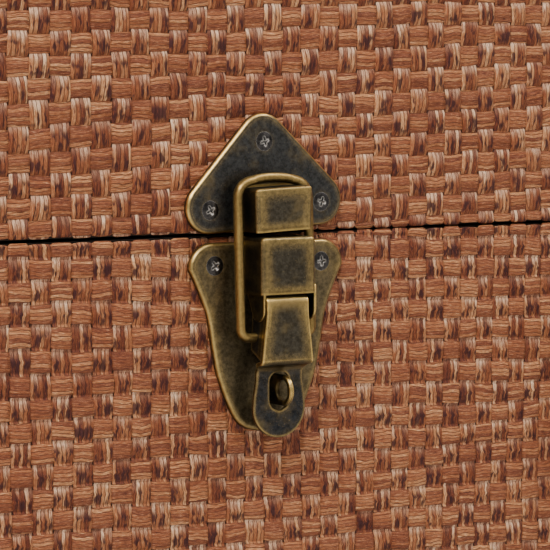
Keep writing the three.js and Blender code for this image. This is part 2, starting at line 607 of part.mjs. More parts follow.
function bail() {
  const { anchor, legX, archTop, archRadius, shoulder, hook, wireRadius } = LATCH;
  const [anchorY, anchorZ] = anchor;
  const at = (x, z) => new THREE.Vector3(x, -anchorY, z);
  const innerX = 4.9;
  const hookX = legX - hook;
  const hookZ = anchorZ + hook;
  const shoulderX = legX - shoulder;
  const shoulderZ = archTop - (archRadius - Math.sqrt(archRadius ** 2 - shoulderX ** 2));
  const legTop = shoulderZ - shoulder;
  const half = (side) => {
    const [inner, bend, leg, top] = [innerX, hookX, legX, shoulderX].map((x) => side * x);
    return [
      new THREE.LineCurve3(at(inner, anchorZ), at(bend, anchorZ)),
      new THREE.QuadraticBezierCurve3(at(bend, anchorZ), at(leg, anchorZ), at(leg, hookZ)),
      new THREE.LineCurve3(at(leg, hookZ), at(leg, legTop)),
      new THREE.QuadraticBezierCurve3(at(leg, legTop), at(leg, shoulderZ - 0.6), at(top, shoulderZ)),
    ];
  };
  const path = new THREE.CurvePath();
  for (const curve of half(-1)) path.add(curve);
  const arch = new THREE.QuadraticBezierCurve3(
    at(-shoulderX, shoulderZ), at(0, 2 * archTop - shoulderZ), at(shoulderX, shoulderZ));
  path.add(arch);
  for (const curve of half(1).reverse()) {
    const backwards = curve.isLineCurve3
      ? new THREE.LineCurve3(curve.v2, curve.v1)
      : new THREE.QuadraticBezierCurve3(curve.v2, curve.v1, curve.v0);
    path.add(backwards);
  }
  return barAlong(path, wireRadius, 6, 48);
}

function padlockEye() {
  const [eyeY, eyeZ] = LATCH.eye;
  const shape = outlineAround([[2.2, eyeZ - 3.4, 0.5], [eyeY, eyeZ, 3.9], [2.2, eyeZ + 3.4, 0.5]]);
  shape.holes.push(circlePath(eyeY + 0.2, eyeZ, 2.25));
  return sideways(shape, [-0.8, 0.8]);
}

function addLatches() {
  for (const [side, x, turn] of [['left', -LATCH_X, STRIKE_TURN], ['right', LATCH_X, 0]]) {
    const group = new THREE.Group();
    group.position.set(x, FRONT, SEAM);
    group.scale.setScalar(LATCH_SCALE);
    caseGroup.add(group);
    add(`latch_plate_${side}`, 'bronze', backPlate(), group);
    add(`strike_plate_${side}`, 'bronze', strikePlate(turn), group);
    add(`latch_lever_${side}`, 'bronze', lever(), group);
    add(`latch_bail_${side}`, 'bronze', bail(), group);
    add(`padlock_eye_${side}`, 'bronze', padlockEye(), group);
  }
}

// ---- Handle, hanging down from its two brackets ----

function addHandle() {
  const { bracketX, z, standoff, drop, gripRadius, pinRadius } = HANDLE;
  const group = new THREE.Group();
  group.position.set(0, FRONT, z);
  caseGroup.add(group);

  const plateShape = outlineAround([[-5, -7, 3], [5, -7, 3], [5, 7, 3], [-5, 7, 3]]);
  const earShape = outlineAround([[0.9, -6, 0.5], [standoff, 0, 3.8], [0.9, 6, 0.5]]);
  const hole = rod(pinRadius + 0.5, [-10, 10], { y: -standoff, along: 'x', sides: 10 });
  for (const [side, sx] of [['left', -1], ['right', 1]]) {
    const ear = sideways(earShape, [-1.4, 1.4]);
    const bracket = cut(join(facing(plateShape, [GAP, 1.6]), ear), hole).translate(sx * bracketX, 0, 0);
    add(`handle_bracket_${side}`, 'bronze', bracket, group);
  }

  const route = [[-35, 4], [-35, -8], [-29, -21], [-15, -drop + 0.8], [0, -drop], [15, -drop + 0.8],
    [29, -21], [35, -8], [35, 4]];
  const curve = new THREE.CatmullRomCurve3(route.map(([x, dz]) => new THREE.Vector3(x, -standoff, dz)));
  const grip = barAlong(curve, gripRadius, 8, 16);
  const pins = [-1, 1].map((side) => {
    const ends = [32, bracketX + 3.4].map((reach) => side * reach).sort((a, b) => a - b);
    return rod(pinRadius, ends, { y: -standoff, along: 'x', sides: 10 });
  });
  const collars = [-1, 1].map((side) => {
    const ends = [30, bracketX - 2].map((reach) => side * reach).sort((a, b) => a - b);
    return rod(5.4, ends, { y: -standoff, along: 'x', sides: 14 });
  });
  const sliced = cut(grip, block([-50, 50], [-30, 10], [0, 10]));
  add('handle_grip', 'leather', join(sliced, ...collars, ...pins), group);
}

// ---- Hinges at the back ----

function addHinges() {
  const { standoff, knuckleRadius, pinRadius, halfWidth, tongue } = HINGE;
  const bore = rod(pinRadius + 0.5, [-30, 30], { y: standoff, along: 'x', sides: 12 });
  const knuckle = (span) => rod(knuckleRadius, span, { y: standoff, along: 'x', sides: 16 });
  const leafY = [GAP, 1.7];
  const clear = knuckleRadius + 0.5;
  const split = tongue + 0.4;

  const lidLeaf = cut(join(
    block([-halfWidth, halfWidth], leafY, [clear, 22]),
    block([-tongue, tongue], leafY, [0, clear + 1]), knuckle([-tongue, tongue])), bore);
  const baseLeaf = cut(join(
    block([-halfWidth, halfWidth], leafY, [-22, -clear]),
    block([split, halfWidth], leafY, [-clear - 1, 0]), block([-halfWidth, -split], leafY, [-clear - 1, 0]),
    knuckle([split, halfWidth]), knuckle([-halfWidth, -split])), bore);
  const pin = rod(pinRadius, [-halfWidth - 1, halfWidth + 1], { y: standoff, along: 'x', sides: 12 });

  for (const [side, sx] of [['left', -1], ['right', 1]]) {
    const group = new THREE.Group();
    group.position.set(sx * HINGE.x, BACK, SEAM);
    caseGroup.add(group);
    add(`hinge_leaf_lid_${side}`, 'bronze', lidLeaf, group);
    add(`hinge_leaf_base_${side}`, 'bronze', baseLeaf, group);
    add(`hinge_pin_${side}`, 'bronze', pin, group);
  }
}

addCase();
addDeck();
addDrive();
addTonearm();
addControls();
addElectronics();
addLatches();
addHandle();
addHinges();

export default player;
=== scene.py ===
"""The looks of a suitcase record player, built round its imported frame.

Metres, +Z up, front towards -Y. Sizes written in millimetres are multiplied by MM where they are used.
"""
import json
import math
from contextlib import contextmanager

import bmesh
import bpy
import numpy as np
from mathutils import Matrix, Vector


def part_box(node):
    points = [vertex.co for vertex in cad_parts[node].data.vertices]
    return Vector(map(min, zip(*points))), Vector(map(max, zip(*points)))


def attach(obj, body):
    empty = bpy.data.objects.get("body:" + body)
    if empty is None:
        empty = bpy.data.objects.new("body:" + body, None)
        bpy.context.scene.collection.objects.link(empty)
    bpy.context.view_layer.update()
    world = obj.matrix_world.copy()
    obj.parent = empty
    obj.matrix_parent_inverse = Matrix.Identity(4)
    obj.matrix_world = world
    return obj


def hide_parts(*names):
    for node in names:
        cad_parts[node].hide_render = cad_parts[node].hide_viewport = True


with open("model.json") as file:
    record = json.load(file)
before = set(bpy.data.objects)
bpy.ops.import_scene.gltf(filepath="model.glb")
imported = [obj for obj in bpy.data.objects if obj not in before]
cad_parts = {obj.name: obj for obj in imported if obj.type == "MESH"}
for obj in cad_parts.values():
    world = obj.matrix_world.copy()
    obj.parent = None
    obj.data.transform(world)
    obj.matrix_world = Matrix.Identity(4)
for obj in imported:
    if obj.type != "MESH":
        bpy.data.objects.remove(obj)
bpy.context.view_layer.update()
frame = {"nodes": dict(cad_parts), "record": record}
scene = bpy.context.scene
MM = 0.001

# ---- Places, taken from the frame ----

base_low, base_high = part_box("base_cloth")
lid_low, lid_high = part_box("lid_cloth")
WIDTH, DEPTH = base_high.x - base_low.x, base_high.y - base_low.y
FRONT, BACK = base_low.y, base_high.y
MIDDLE_Y = (FRONT + BACK) / 2
SEAM = (base_high.z + lid_low.z) / 2
CORNER_RADIUS = 14 * MM
EDGE_RADIUS = 5 * MM
LATCH_X = sum(corner.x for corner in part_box("latch_plate_right")) / 2


# ---- Node trees, written as sums ----

class Value:
    """A socket in a material, which adds, multiplies and so on into new Math nodes."""

    def __init__(self, paint, socket):
        self.paint, self.socket = paint, socket

    def inverse(self):
        return self * -1.0 + 1.0

    def smooth(self, low, high):
        """0 up to low, 1 from high, with a soft step between."""
        return self.paint.value("ShaderNodeMapRange", self, low, high, interpolation_type="SMOOTHSTEP")


def operator(operation):
    return lambda self, *others: self.paint.value("ShaderNodeMath", self, *others, operation=operation)


for method, operation in dict(
        __add__="ADD", __sub__="SUBTRACT", __mul__="MULTIPLY", __truediv__="DIVIDE", __pow__="POWER",
        floor="FLOOR", fract="FRACT", abs="ABSOLUTE", sign="SIGN", sine="SINE", above="GREATER_THAN",
        largest="MAXIMUM", smallest="MINIMUM").items():
    setattr(Value, method, operator(operation))


class Paint:
    """A material with a Principled shader, and the nodes that feed it."""

    def __init__(self, name, **settings):
        self.material = bpy.data.materials.new(name)
        self.material.use_nodes = True
        self.nodes, self.links = self.material.node_tree.nodes, self.material.node_tree.links
        self.shader = self.nodes["Principled BSDF"]
        for socket, value in settings.items():
            self.set(socket.replace("_", " ").title(), value)

    def set(self, name, value):
        self.feed(self.shader.inputs[name], value)

    def feed(self, socket, value):
        if isinstance(value, Value):
            self.links.new(value.socket, socket)
        else:
            socket.default_value = value

    def node(self, kind, *inputs, **named):
        """A new node, its inputs given in order or by name, and its other settings by name."""
        node = self.nodes.new(kind)
        for name, value in named.items():
            if name in node.inputs:
                self.feed(node.inputs[name], value)
            else:
                setattr(node, name, value)
        for socket, value in zip(node.inputs, inputs):
            self.feed(socket, value)
        return node

    def value(self, kind, *inputs, output=0, **named):
        return Value(self, self.node(kind, *inputs, **named).outputs[output])

    def position(self):
        return self.value("ShaderNodeTexCoord", output="Object")

    def split(self, vector):
        return [Value(self, socket) for socket in self.node("ShaderNodeSeparateXYZ", vector).outputs]

    def vector(self, x, y, z=0.0):
        return self.value("ShaderNodeCombineXYZ", x, y, z)

    def noise(self, vector, scale=1.0, detail=2.0, roughness=0.5):
        return self.value("ShaderNodeTexNoise", output="Fac", Vector=vector, Scale=scale, Detail=detail,
                          Roughness=roughness)

    def chance(self, x, y, z=0.0):
        """A number from 0 to 1 that is the same wherever x, y and z are."""
        return self.value("ShaderNodeTexWhiteNoise", self.vector(x, y, z), output="Value")

    def mix(self, amount, first, second, blend="MIX"):
        node = self.node("ShaderNodeMix", amount, data_type="RGBA", blend_type=blend)
        colours = [socket for socket in node.inputs if socket.type == "RGBA"]
        for socket, value in zip(colours, (first, second)):
            self.feed(socket, value)
        return Value(self, next(socket for socket in node.outputs if socket.type == "RGBA"))

    def ramp(self, amount, *stops):
        """A colour for an amount, from stops given as a place and a colour of 0 to 255."""
        node = self.node("ShaderNodeValToRGB", amount)
        elements = node.color_ramp.elements
        while len(elements) < len(stops):
            elements.new(0.5)
        for element, (place, shade) in zip(elements, stops):
            element.position, element.color = place, colour(*shade)
        return Value(self, node.outputs["Color"])

    def rounded(self, radius):
        """The normal that the surface would have if its edges were rounded to a radius."""
        return self.value("ShaderNodeBevel", radius, samples=8)

    def edges(self, radius):
        """1 within about a radius of a sharp or rounded edge, 0 on a flat face."""
        normal = self.value("ShaderNodeNewGeometry", output="Normal")
        return self.value("ShaderNodeVectorMath", self.rounded(radius), normal, output="Value",
                          operation="DOT_PRODUCT").inverse()

    def facing(self):
        """Which way the surface faces, as X, Y and Z."""
        return self.split(self.value("ShaderNodeTexCoord", output="Normal"))

    def edge_facing(self, radius):
        """Which way the surface would face if its edges were rounded to a radius, as X, Y and Z."""
        return self.split(self.value("ShaderNodeVectorTransform", self.rounded(radius), vector_type="NORMAL",
                                     convert_from="WORLD", convert_to="OBJECT"))

    def bump(self, height, depth):
        self.set("Normal", self.value("ShaderNodeBump", Height=height, Distance=depth))


def colour(red, green, blue):
    """A colour as seen on a screen, 0 to 255, for a shader, which counts light."""
    def light(level):
        level /= 255
        return level / 12.92 if level <= 0.04045 else ((level + 0.055) / 1.055) ** 2.4
    return (light(red), light(green), light(blue), 1.0)


# ---- The woven covering ----
# A plain weave of flat bundles of fibre. A cell is one bundle wide and high; i counts cells along the
# weave and j across it. An upright float lies on top where i + j is even, a level one where it is odd.

PITCH = 4.44 * MM
# The floats' half length and half width are in cells.
UPRIGHT = dict(length=0.58, width=0.485, height=0.92 * MM, squareness=8.0)
LEVEL = dict(length=0.62, width=0.45, height=0.62 * MM, squareness=7.0)
PILE = 0.95 * MM  # from the backing to the outside of the case
STRANDS = 5


def cell_places(s, t, i, j, odd, sign):
    """Where the place (s, t) is in its cell, as numbers or Values: from the cell's middle, from the middles
    of the upright and the level float that cross there, and those floats' row and column."""
    across, along = s - i - 0.5, t - j - 0.5
    up = odd * sign(along)
    aside = (odd * -1.0 + 1.0) * sign(across)
    return across, along, along - up, across - aside, j + up, i + aside


def weave_height(s, t):
    """How far the weave stands out from its backing at the place (s, t), in cells."""
    i, j = np.floor(s + 1e-6), np.floor(t + 1e-6)
    across, along, from_upright, from_level, row, column = cell_places(s, t, i, j, (i + j) % 2, np.sign)

    def arch(distance, half, power=2.0):
        return np.sqrt(np.clip(1 - np.abs(distance / half) ** power, 0, None))

    def float_height(kind, a, b, c, lengthwise, crosswise):
        vary = 1 + 0.1 * np.sin(a * 2.4 + b * 4.1 + c) * np.sin(a * 5.3 - b * 1.7)
        return (kind["height"] * vary * arch(lengthwise, kind["length"])
                * arch(crosswise, kind["width"], kind["squareness"]))

    return np.maximum(float_height(UPRIGHT, i, row, 0, from_upright, across),
                      float_height(LEVEL, column, j, 2, from_level, along))


def wander(s, t):
    """How far the bundles stray from a straight grid, in cells, along and across the weave."""
    turn = 2 * math.pi * s / AROUND

    def waves(*terms):
        return sum(size * np.sin(count * turn + start + drift * t) for size, count, start, drift in terms)

    return (waves((0.08, 17, 1, 0.1), (0.03, 43, 2, 0.7), (0.025, 121, 4, 2.1)),
            waves((0.06, 13, 0, 0.7), (0.035, 37, 3, 1.3), (0.02, 109, 5, -1.9)))


def quads_of(grid):
    """The four corners of each quad in a grid, anticlockwise."""
    return np.stack([grid[:-1, :-1], grid[1:, :-1], grid[1:, 1:], grid[:-1, 1:]], -1)


def grid_mesh(points, uv, keep, flip):
    """A mesh of quads through a grid of points, leaving out the quads that keep says are not wanted."""
    quads = quads_of(np.arange(points.shape[0] * points.shape[1]).reshape(points.shape[:2]))[keep]
    if flip:
        quads = quads[:, ::-1]
    used, corners = np.unique(quads, return_inverse=True)
    corners = corners.reshape(-1)
    mesh = new_mesh()
    mesh.vertices.add(len(used))
    mesh.vertices.foreach_set("co", points.reshape(-1, 3)[used].astype(np.float32).ravel())
    mesh.loops.add(len(corners))
    mesh.loops.foreach_set("vertex_index", corners.astype(np.int32))
    mesh.polygons.add(len(quads))
    mesh.polygons.foreach_set("loop_start", np.arange(0, len(corners), 4, dtype=np.int32))
    mesh.update(calc_edges=True)
    layer = mesh.uv_layers.new(name="weave")
    layer.data.foreach_set("uv", uv.reshape(-1, 2)[used][corners].astype(np.float32).ravel())
    mesh.polygons.foreach_set("use_smooth", np.ones(len(quads), bool))
    mesh.validate()
    return mesh


def shown(name, mesh, body, paint, replaces=()):
    """A piece made from a mesh, riding on its body."""
    piece = bpy.data.objects.new(name, mesh)
    scene.collection.objects.link(piece)
    mesh.materials.clear()
    mesh.materials.append(paint.material)
    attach(piece, body)
    if replaces:
        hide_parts(*replaces)
    return piece


def outline_point(u, reach):
    """A place and its outward direction on the case's plan, u along the outline from the middle of the
    front, positive to the right, and reach outwards from the outline."""
    straight_x, straight_y = WIDTH / 2 - CORNER_RADIUS, DEPTH / 2 - CORNER_RADIUS
    arc = CORNER_RADIUS * math.pi / 2
    side = np.sign(u)
    u = np.abs(u)
    ends = np.cumsum([straight_x, arc, 2 * straight_y, arc])
    first = np.clip((u - ends[0]) / arc, 0, 1) * math.pi / 2
    second = np.clip((u - ends[2]) / arc, 0, 1) * math.pi / 2
    angle = first + second
    x = straight_x - np.clip(straight_x - u, 0, None) - np.clip(u - ends[3], 0, None)
    y = -straight_y + np.clip(u - ends[1], 0, 2 * straight_y)
    nx, ny = np.sin(angle), -np.cos(angle)
    radius = CORNER_RADIUS + reach
    return side * (x + nx * radius), MIDDLE_Y + y + ny * radius, side * nx, ny


PERIMETER = 2 * (WIDTH + DEPTH - 4 * CORNER_RADIUS) + 2 * math.pi * CORNER_RADIUS
AROUND = 2 * round(PERIMETER / PITCH / 2)  # cells round the case, an even number so that the ends meet
FINE = (0, 0.035, 0.075, 0.14, 0.25, 0.37, 0.5, 0.63, 0.75, 0.86, 0.925, 0.965)
COARSE = (0, 0.07, 0.3, 0.7, 0.93)
SPARSE = (0, 0.1, 0.5, 0.9)
SEAM_FOLD = 0.8 * MM  # radius of the covering's turn into the seam
SWELL = {FINE: 0.2 * MM, COARSE: 0.15 * MM}  # how far the covering stands into the gap at the seam
OVERLAP = 2.5 * MM  # how far the band runs on under the panel that covers the lid's top
OVERLAP_SINK = 1.1 * MM  # how far it has sunk there at its end
HEM, HEM_SINK = 0.9 * MM, 0.2 * MM  # the panel's flattened rim: how wide, and how deep below the backing


def phases(first, last, steps):
    """The places of the grid lines from one cell to another, in cells."""
    return np.array([cell + step for cell in range(first, last) for step in steps] + [last])


def band(name, body, cells, steps, height, edge_z, direction, slope, start, replaces=()):
    """A stretch of the covering round the sides, from the seam over the far edge. Its bundles run slightly
    aslant, and start is how many cells the first row is moved away from the seam."""
    fold_arc = SEAM_FOLD * math.pi / 2
    wall = height - SEAM_FOLD - EDGE_RADIUS
    edge_arc = EDGE_RADIUS * math.pi / 2
    reach = fold_arc + wall + edge_arc + OVERLAP
    s, t = np.meshgrid(phases(*cells, steps), phases(-2, math.ceil(reach / PITCH) + 2, steps), indexing="ij")
    ds, dt = wander(s, t)
    swing = slope * AROUND / (4 * math.pi) * np.sin(4 * math.pi * (s / AROUND + LATCH_X / PERIMETER))
    u = (s + ds) * PERIMETER / AROUND
    v = np.clip((t + dt + swing + start) * PITCH, 0, reach)
    keep = np.ptp(quads_of(v), axis=-1) > 1e-7

    fold = v.clip(0, fold_arc) / SEAM_FOLD - math.pi / 2
    past_wall = v - fold_arc - wall
    edge = past_wall.clip(0, edge_arc) / EDGE_RADIUS
    angle = fold + edge
    inward = SEAM_FOLD * (1 - np.cos(fold)) + EDGE_RADIUS * (1 - np.cos(edge))
    inward = inward + (past_wall - edge_arc).clip(0)
    rise = SEAM_FOLD * (1 + np.sin(fold)) + (v - fold_arc).clip(0, wall) + EDGE_RADIUS * np.sin(edge)
    sink = np.clip((v - reach + OVERLAP) / OVERLAP, 0, 1) * OVERLAP_SINK
    out = weave_height(s, t) - PILE - sink

    x, y, nx, ny = outline_point(u, -inward + out * np.cos(angle))
    z = edge_z + direction * (rise + out * np.sin(angle))
    mesh = grid_mesh(np.stack([x, y, z], -1), np.stack([s, direction * t], -1), keep, direction < 0)
    return shown(name, mesh, body, woven, replaces)


def panel(name, body, cells, z, direction, steps):
    """The covering of the lid's top or the base's underside, cut to a rounded rectangle."""
    half_x, half_y = WIDTH / 2 - EDGE_RADIUS + MM, DEPTH / 2 - EDGE_RADIUS + MM
    radius = CORNER_RADIUS - EDGE_RADIUS
    rows = math.ceil(half_y / PITCH) + 1
    s, t = np.meshgrid(phases(*cells, steps), phases(-rows, rows, steps), indexing="ij")
    ds, dt = wander(s, t)
    x, y = (s + ds) * PITCH, (t + dt) * PITCH
    dx, dy = np.abs(x) - half_x + radius, np.abs(y) - half_y + radius
    corner = (dx > 0) & (dy > 0)
    inside = radius - np.where(corner, np.hypot(dx.clip(0), dy.clip(0)), np.maximum(dx, dy))
    pull = (-inside).clip(0)
    length = np.where(corner, np.hypot(dx, dy), 1)
    x = x - np.sign(x) * np.where(corner, dx / length, dx > dy) * pull
    y = y - np.sign(y) * np.where(corner, dy / length, dy >= dx) * pull
    hem = 1 - np.clip(inside / HEM, 0, 1)
    out = weave_height(s, t) * (1 - hem) - PILE - hem * HEM_SINK
    points = np.stack([x, y + MIDDLE_Y, z + direction * out], -1)
    mesh = grid_mesh(points, np.stack([s, t], -1), ~quads_of(inside < 0).all(-1), direction < 0)
    return shown(name, mesh, body, woven)


def weave_paint():
    """Raffia-like fibre: each bundle is a few strands, each strand its own brown, with painted shade in dark
    patches, between strands and in the hollows between bundles, and painted highlights on the upright floats'
    tops and along the level strands.
    """
    p = Paint("basket_weave")
    s, t = p.split(p.value("ShaderNodeUVMap", uv_map="weave"))[:2]
    i, j = s.floor(), t.floor()
    odd = ((i + j) * 0.5).fract() * 2
    across, along, from_upright, from_level, row, column = cell_places(s, t, i, j, odd, Value.sign)

    def arch(distance, half, power=2.0):
        return ((distance / half).abs() ** power).inverse().largest(0.0) ** 0.5

    def height_of(kind, lengthwise, crosswise):
        return (arch(lengthwise, kind["length"]) * arch(crosswise, kind["width"], kind["squareness"])
                * (kind["height"] / UPRIGHT["height"]))

    upright, level = height_of(UPRIGHT, from_upright, across), height_of(LEVEL, from_level, along)
    on_top = upright.above(level)

    def strands(place, bundle, piece, seed, grain, gap):
        """For a place across a bundle, in strands: which strand, its own chance, its fibres, and the gaps."""
        strand = place.floor()
        chance = p.chance(bundle * 7 + strand, piece, seed)
        fibre = p.noise(p.vector(s * grain[0], t * grain[1], chance * 9), detail=4, roughness=0.75)
        return strand, chance, fibre, (place - strand - 0.5).abs().smooth(gap, 0.5)

    # Upright strands
    place = across * STRANDS + (from_upright * 2.2 + i * 2.4 + row).sine() * 0.16 + 0.5
    strand, chance, fibre, gap = strands(place, i, row, 0.0, (52, 3.2), 0.36)
    upright_colour = p.ramp(
        chance * 0.6 + (fibre - 0.5) * 1.9 + 0.2, (0.02, (60, 24, 18)), (0.28, (118, 58, 34)),
        (0.55, (160, 94, 56)), (0.8, (198, 138, 90)), (1.0, (240, 192, 144)))
    # painted highlight: the upper end of each upright float is made pale, standing in for light from above
    # catching its curve
    end = from_upright + (p.chance(i * 7 + strand, row, 5.0) - 0.5) * 0.4
    top_highlight = end.smooth(0.05, 0.6) * (chance * 0.9 + 0.1) * fibre.smooth(0.4, 0.56)
    upright_colour = p.mix(top_highlight, upright_colour, colour(250, 214, 178))
    # painted shade: dark purple-brown patches on the middle and lower part of each upright float, where its
    # strands lie in shadow
    shade_patches = p.noise(p.vector(s * 4.6, t * 1.35, row * 3.7), detail=2, roughness=0.6)
    low = (from_upright + 0.14).abs().smooth(0.5, 0.14)
    upright_colour = p.mix(shade_patches.smooth(0.48, 0.6) * low * 0.9, upright_colour, colour(62, 26, 28))
    gap = gap * (chance * 0.6 + 0.4)

    # Level strands
    sway = p.noise(p.vector(s * 1.1, t * 0.7, 3.3), detail=2)
    place = along * (STRANDS + 1) + (sway - 0.5) * 2.0 + (j * 1.7 + i).sine() * 0.3 + 0.5
    strand, chance, level_fibre, level_gap = strands(place, j, column, 9.0, (3.2, 52), 0.34)
    level_colour = p.ramp(
        chance * 0.5 + (level_fibre - 0.5) * 2.1 + 0.26, (0.0, (74, 32, 20)), (0.3, (130, 70, 42)),
        (0.6, (168, 102, 62)), (0.85, (204, 142, 92)), (1.0, (240, 188, 138)))
    # painted highlight: pale fine lines along the level strands, standing in for the fibres' sheen
    level_colour = p.mix(level_fibre.smooth(0.56, 0.68) * 0.5, level_colour, colour(236, 190, 156))
    level_colour = p.mix(level_fibre.smooth(0.44, 0.34) * 0.55, level_colour, colour(72, 34, 26))
    level_gap = level_gap * (chance * 0.8 + 0.2)

    fibres = p.mix(on_top, level_colour, upright_colour)
    blotch = p.noise(p.vector(s * 0.23, t * 0.23), detail=2)
    fibres = p.mix(blotch.smooth(0.35, 0.75) * 0.3, fibres, colour(190, 120, 84), "MULTIPLY")
    # painted shade: dark lines in the gaps between strands
    groove = level_gap * on_top.inverse() + gap * on_top
    fibres = p.mix(groove * 0.9, fibres, colour(50, 20, 14))
    # painted shade: darker where both floats are low, in the hollows between bundles
    deep = upright.largest(level).smooth(0.05, 0.42).inverse()
    p.set("Base Color", p.mix(deep * 0.9, fibres, colour(40, 16, 12)))
    p.set("Roughness", 0.6)
    p.set("Specular IOR Level", 0.25)
    p.bump(groove * -1.0 + (fibre * on_top + level_fibre * on_top.inverse()) * 0.5, 0.2 * MM)
    return p


def add_covering():
    """The weave round both shells, in stretches that are finest where the camera looks."""
    half = AROUND // 2
    corner = -math.floor((WIDTH / 2 + 8 * MM) / PITCH)
    latch, middle = corner + 21, -math.floor(46 * MM / PITCH)
    back_right = middle + 125
    stretches = {
        "left_back": (-half, corner, COARSE), "front_left": (corner, latch, FINE),
        "front_latch": (latch, middle, FINE), "front_right": (middle, back_right, COARSE),
        "right_back": (back_right, half, COARSE)}
    shells = {
        "base": (base_high.z, base_low.z, -1, 0.037, 0.2),
        "lid": (lid_low.z, lid_high.z, 1, 0.026, 0.3)}
    for shell, (seam_z, far_z, direction, slope, start) in shells.items():
        for name, (first, last, steps) in stretches.items():
            edge_z = seam_z - direction * SWELL[steps]
            stands_for = [f"{shell}_cloth"] if name == "front_latch" else ()
            band(f"{shell}_weave_{name}", shell, (first, last), steps, abs(far_z - edge_z), edge_z, direction,
                 slope, start, stands_for)
    across = math.ceil(WIDTH / 2 / PITCH) + 1
    for side, cells in (("left", (-across, 0)), ("right", (0, across))):
        panel(f"lid_weave_top_{side}", "lid", cells, lid_high.z, 1, SPARSE)
        panel(f"base_weave_underside_{side}", "base", cells, base_low.z, -1, (0, 0.5))


# ---- Sheet metal ----

FACING = Matrix(((1, 0, 0, 0), (0, 0, -1, 0), (0, 1, 0, 0), (0, 0, 0, 1)))  # X, Z and outwards from the front
SIDEWAYS = Matrix(((0, 0, -1, 0), (-1, 0, 0, 0), (0, 1, 0, 0), (0, 0, 0, 1)))  # outwards, Z and along X
ALONG_X = Matrix.Rotation(math.pi / 2, 4, "Y")  # from a height to X
ALONG_Y = Matrix.Rotation(math.pi / 2, 4, "X")  # from a height to the front
SHEET, FOLD, SOFTENED = 0.9, 1.1, 0.22  # a stamped box's thickness, its folds' radius and its cut edges'


def shifted(x=0, y=0, z=0):
    return Matrix.Translation((x, y, z))


def arc(x, y, radius, start, end, steps=10):
    angles = (start + (end - start) * step / steps for step in range(steps + 1))
    return [(x + radius * math.cos(angle), y + radius * math.sin(angle)) for angle in angles]


def circle(x, y, radius, steps=28):
    return arc(x, y, radius, 0, 2 * math.pi, steps)[:-1]


def outline_around(circles, steps=10):
    """The outline stretched round circles given anticlockwise as (x, y, radius)."""
    def tangent(first, second):
        (ax, ay, ar), (bx, by, br) = first, second
        length = math.hypot(bx - ax, by - ay)
        return math.atan2(by - ay, bx - ax) - math.acos((ar - br) / length)

    points = []
    for before, here, after in zip([circles[-1], *circles], circles, [*circles[1:], circles[0]]):
        start, end = tangent(before, here), tangent(here, after)
        end += 2 * math.pi * math.ceil((start - end) / (2 * math.pi))
        points += arc(*here, start, end, steps)
    return points


@contextmanager
def editing(mesh):
    """A mesh opened for editing, and written back at the end."""
    work = bmesh.new()
    work.from_mesh(mesh)
    yield work
    work.to_mesh(mesh)
    work.free()


def new_mesh():
    return bpy.data.meshes.new("mesh")


def weld(mesh):
    """The mesh with its doubled vertices joined and its faces pointing out."""
    with editing(mesh) as work:
        bmesh.ops.remove_doubles(work, verts=work.verts, dist=1e-4)
        bmesh.ops.recalc_face_normals(work, faces=work.faces)
    return mesh


def evaluated(mesh, *modifiers):
    """The mesh after modifiers, each given as its type and a dict of settings."""
    holder = bpy.data.objects.new("holder", mesh)
    scene.collection.objects.link(holder)
    for kind, settings in modifiers:
        modifier = holder.modifiers.new(kind, kind)
        for name, value in settings.items():
            setattr(modifier, name, value)
    result = bpy.data.meshes.new_from_object(holder.evaluated_get(bpy.context.evaluated_depsgraph_get()))
    bpy.data.objects.remove(holder)
    return result


def flat_plate(outline, holes=(), thickness=0.0, edge=0.0, steps=4):
    """A flat plate with rounded edges, its outline in X and Y and its outer face at Z = 0."""
    data = bpy.data.curves.new("outline", "CURVE")
    data.dimensions, data.fill_mode = "2D", "BOTH"
    data.extrude, data.bevel_depth, data.bevel_resolution = thickness / 2 - edge, edge, steps
    data.offset = -edge
    for points in (outline, *holes):
        spline = data.splines.new("POLY")
        spline.points.add(len(points) - 1)
        spline.points.foreach_set("co", [value for x, y in points for value in (x, y, 0, 1)])
        spline.use_cyclic_u = True
    mesh = evaluated(data)
    bpy.data.curves.remove(data)
    mesh.transform(Matrix.Translation((0, 0, -thickness / 2)))
    return weld(mesh)


def joined(*meshes):
    """One mesh holding all of these."""
    result = new_mesh()
    with editing(result) as work:
        for mesh in meshes:
            work.from_mesh(mesh)
    return result


def placed(mesh, *matrices):
    mesh = mesh.copy()
    for matrix in matrices:
        mesh.transform(matrix)
    return mesh


def smoothed(mesh, angle=40):
    """Smooth shading except across sharp edges, flat faces staying flat."""
    with editing(mesh) as work:
        for face in work.faces:
            face.smooth = True
        for edge in work.edges:
            edge.smooth = len(edge.link_faces) == 2 and edge.calc_face_angle(0) < math.radians(angle)
    return evaluated(mesh, ("WEIGHTED_NORMAL", dict(keep_sharp=True, weight=100)))


def bevel(width, segments, angle, **settings):
    return "BEVEL", dict(width=width, segments=segments, limit_method="ANGLE",
                         angle_limit=math.radians(angle), **settings)


def stamped_box(x, front, back, low, high, lean=0.0, taper=0.0):
    """A box folded from sheet, open at its foot and back, from -x to x and outwards from back to front."""
    mesh = new_mesh()
    with editing(mesh) as work:
        left, right = [
            [work.verts.new((side * width, -out, z)) for width, out, z in (
                (x - taper, front - lean, low), (x - taper, back, low), (x, back, high), (x, front, high))]
            for side in (-1, 1)]
        work.faces.new((left[0], right[0], right[3], left[3]))
        work.faces.new((left[3], right[3], right[2], left[2]))
        work.faces.new(right)
        work.faces.new((left[1], left[0], left[3], left[2]))
        folds = [edge for edge in work.edges if len(edge.link_faces) == 2]
        bmesh.ops.bevel(work, geom=folds, offset=FOLD, segments=5, profile=0.5, affect="EDGES")
    return evaluated(mesh, ("SOLIDIFY", dict(thickness=SHEET, offset=-1)), bevel(SOFTENED, 2, 60))


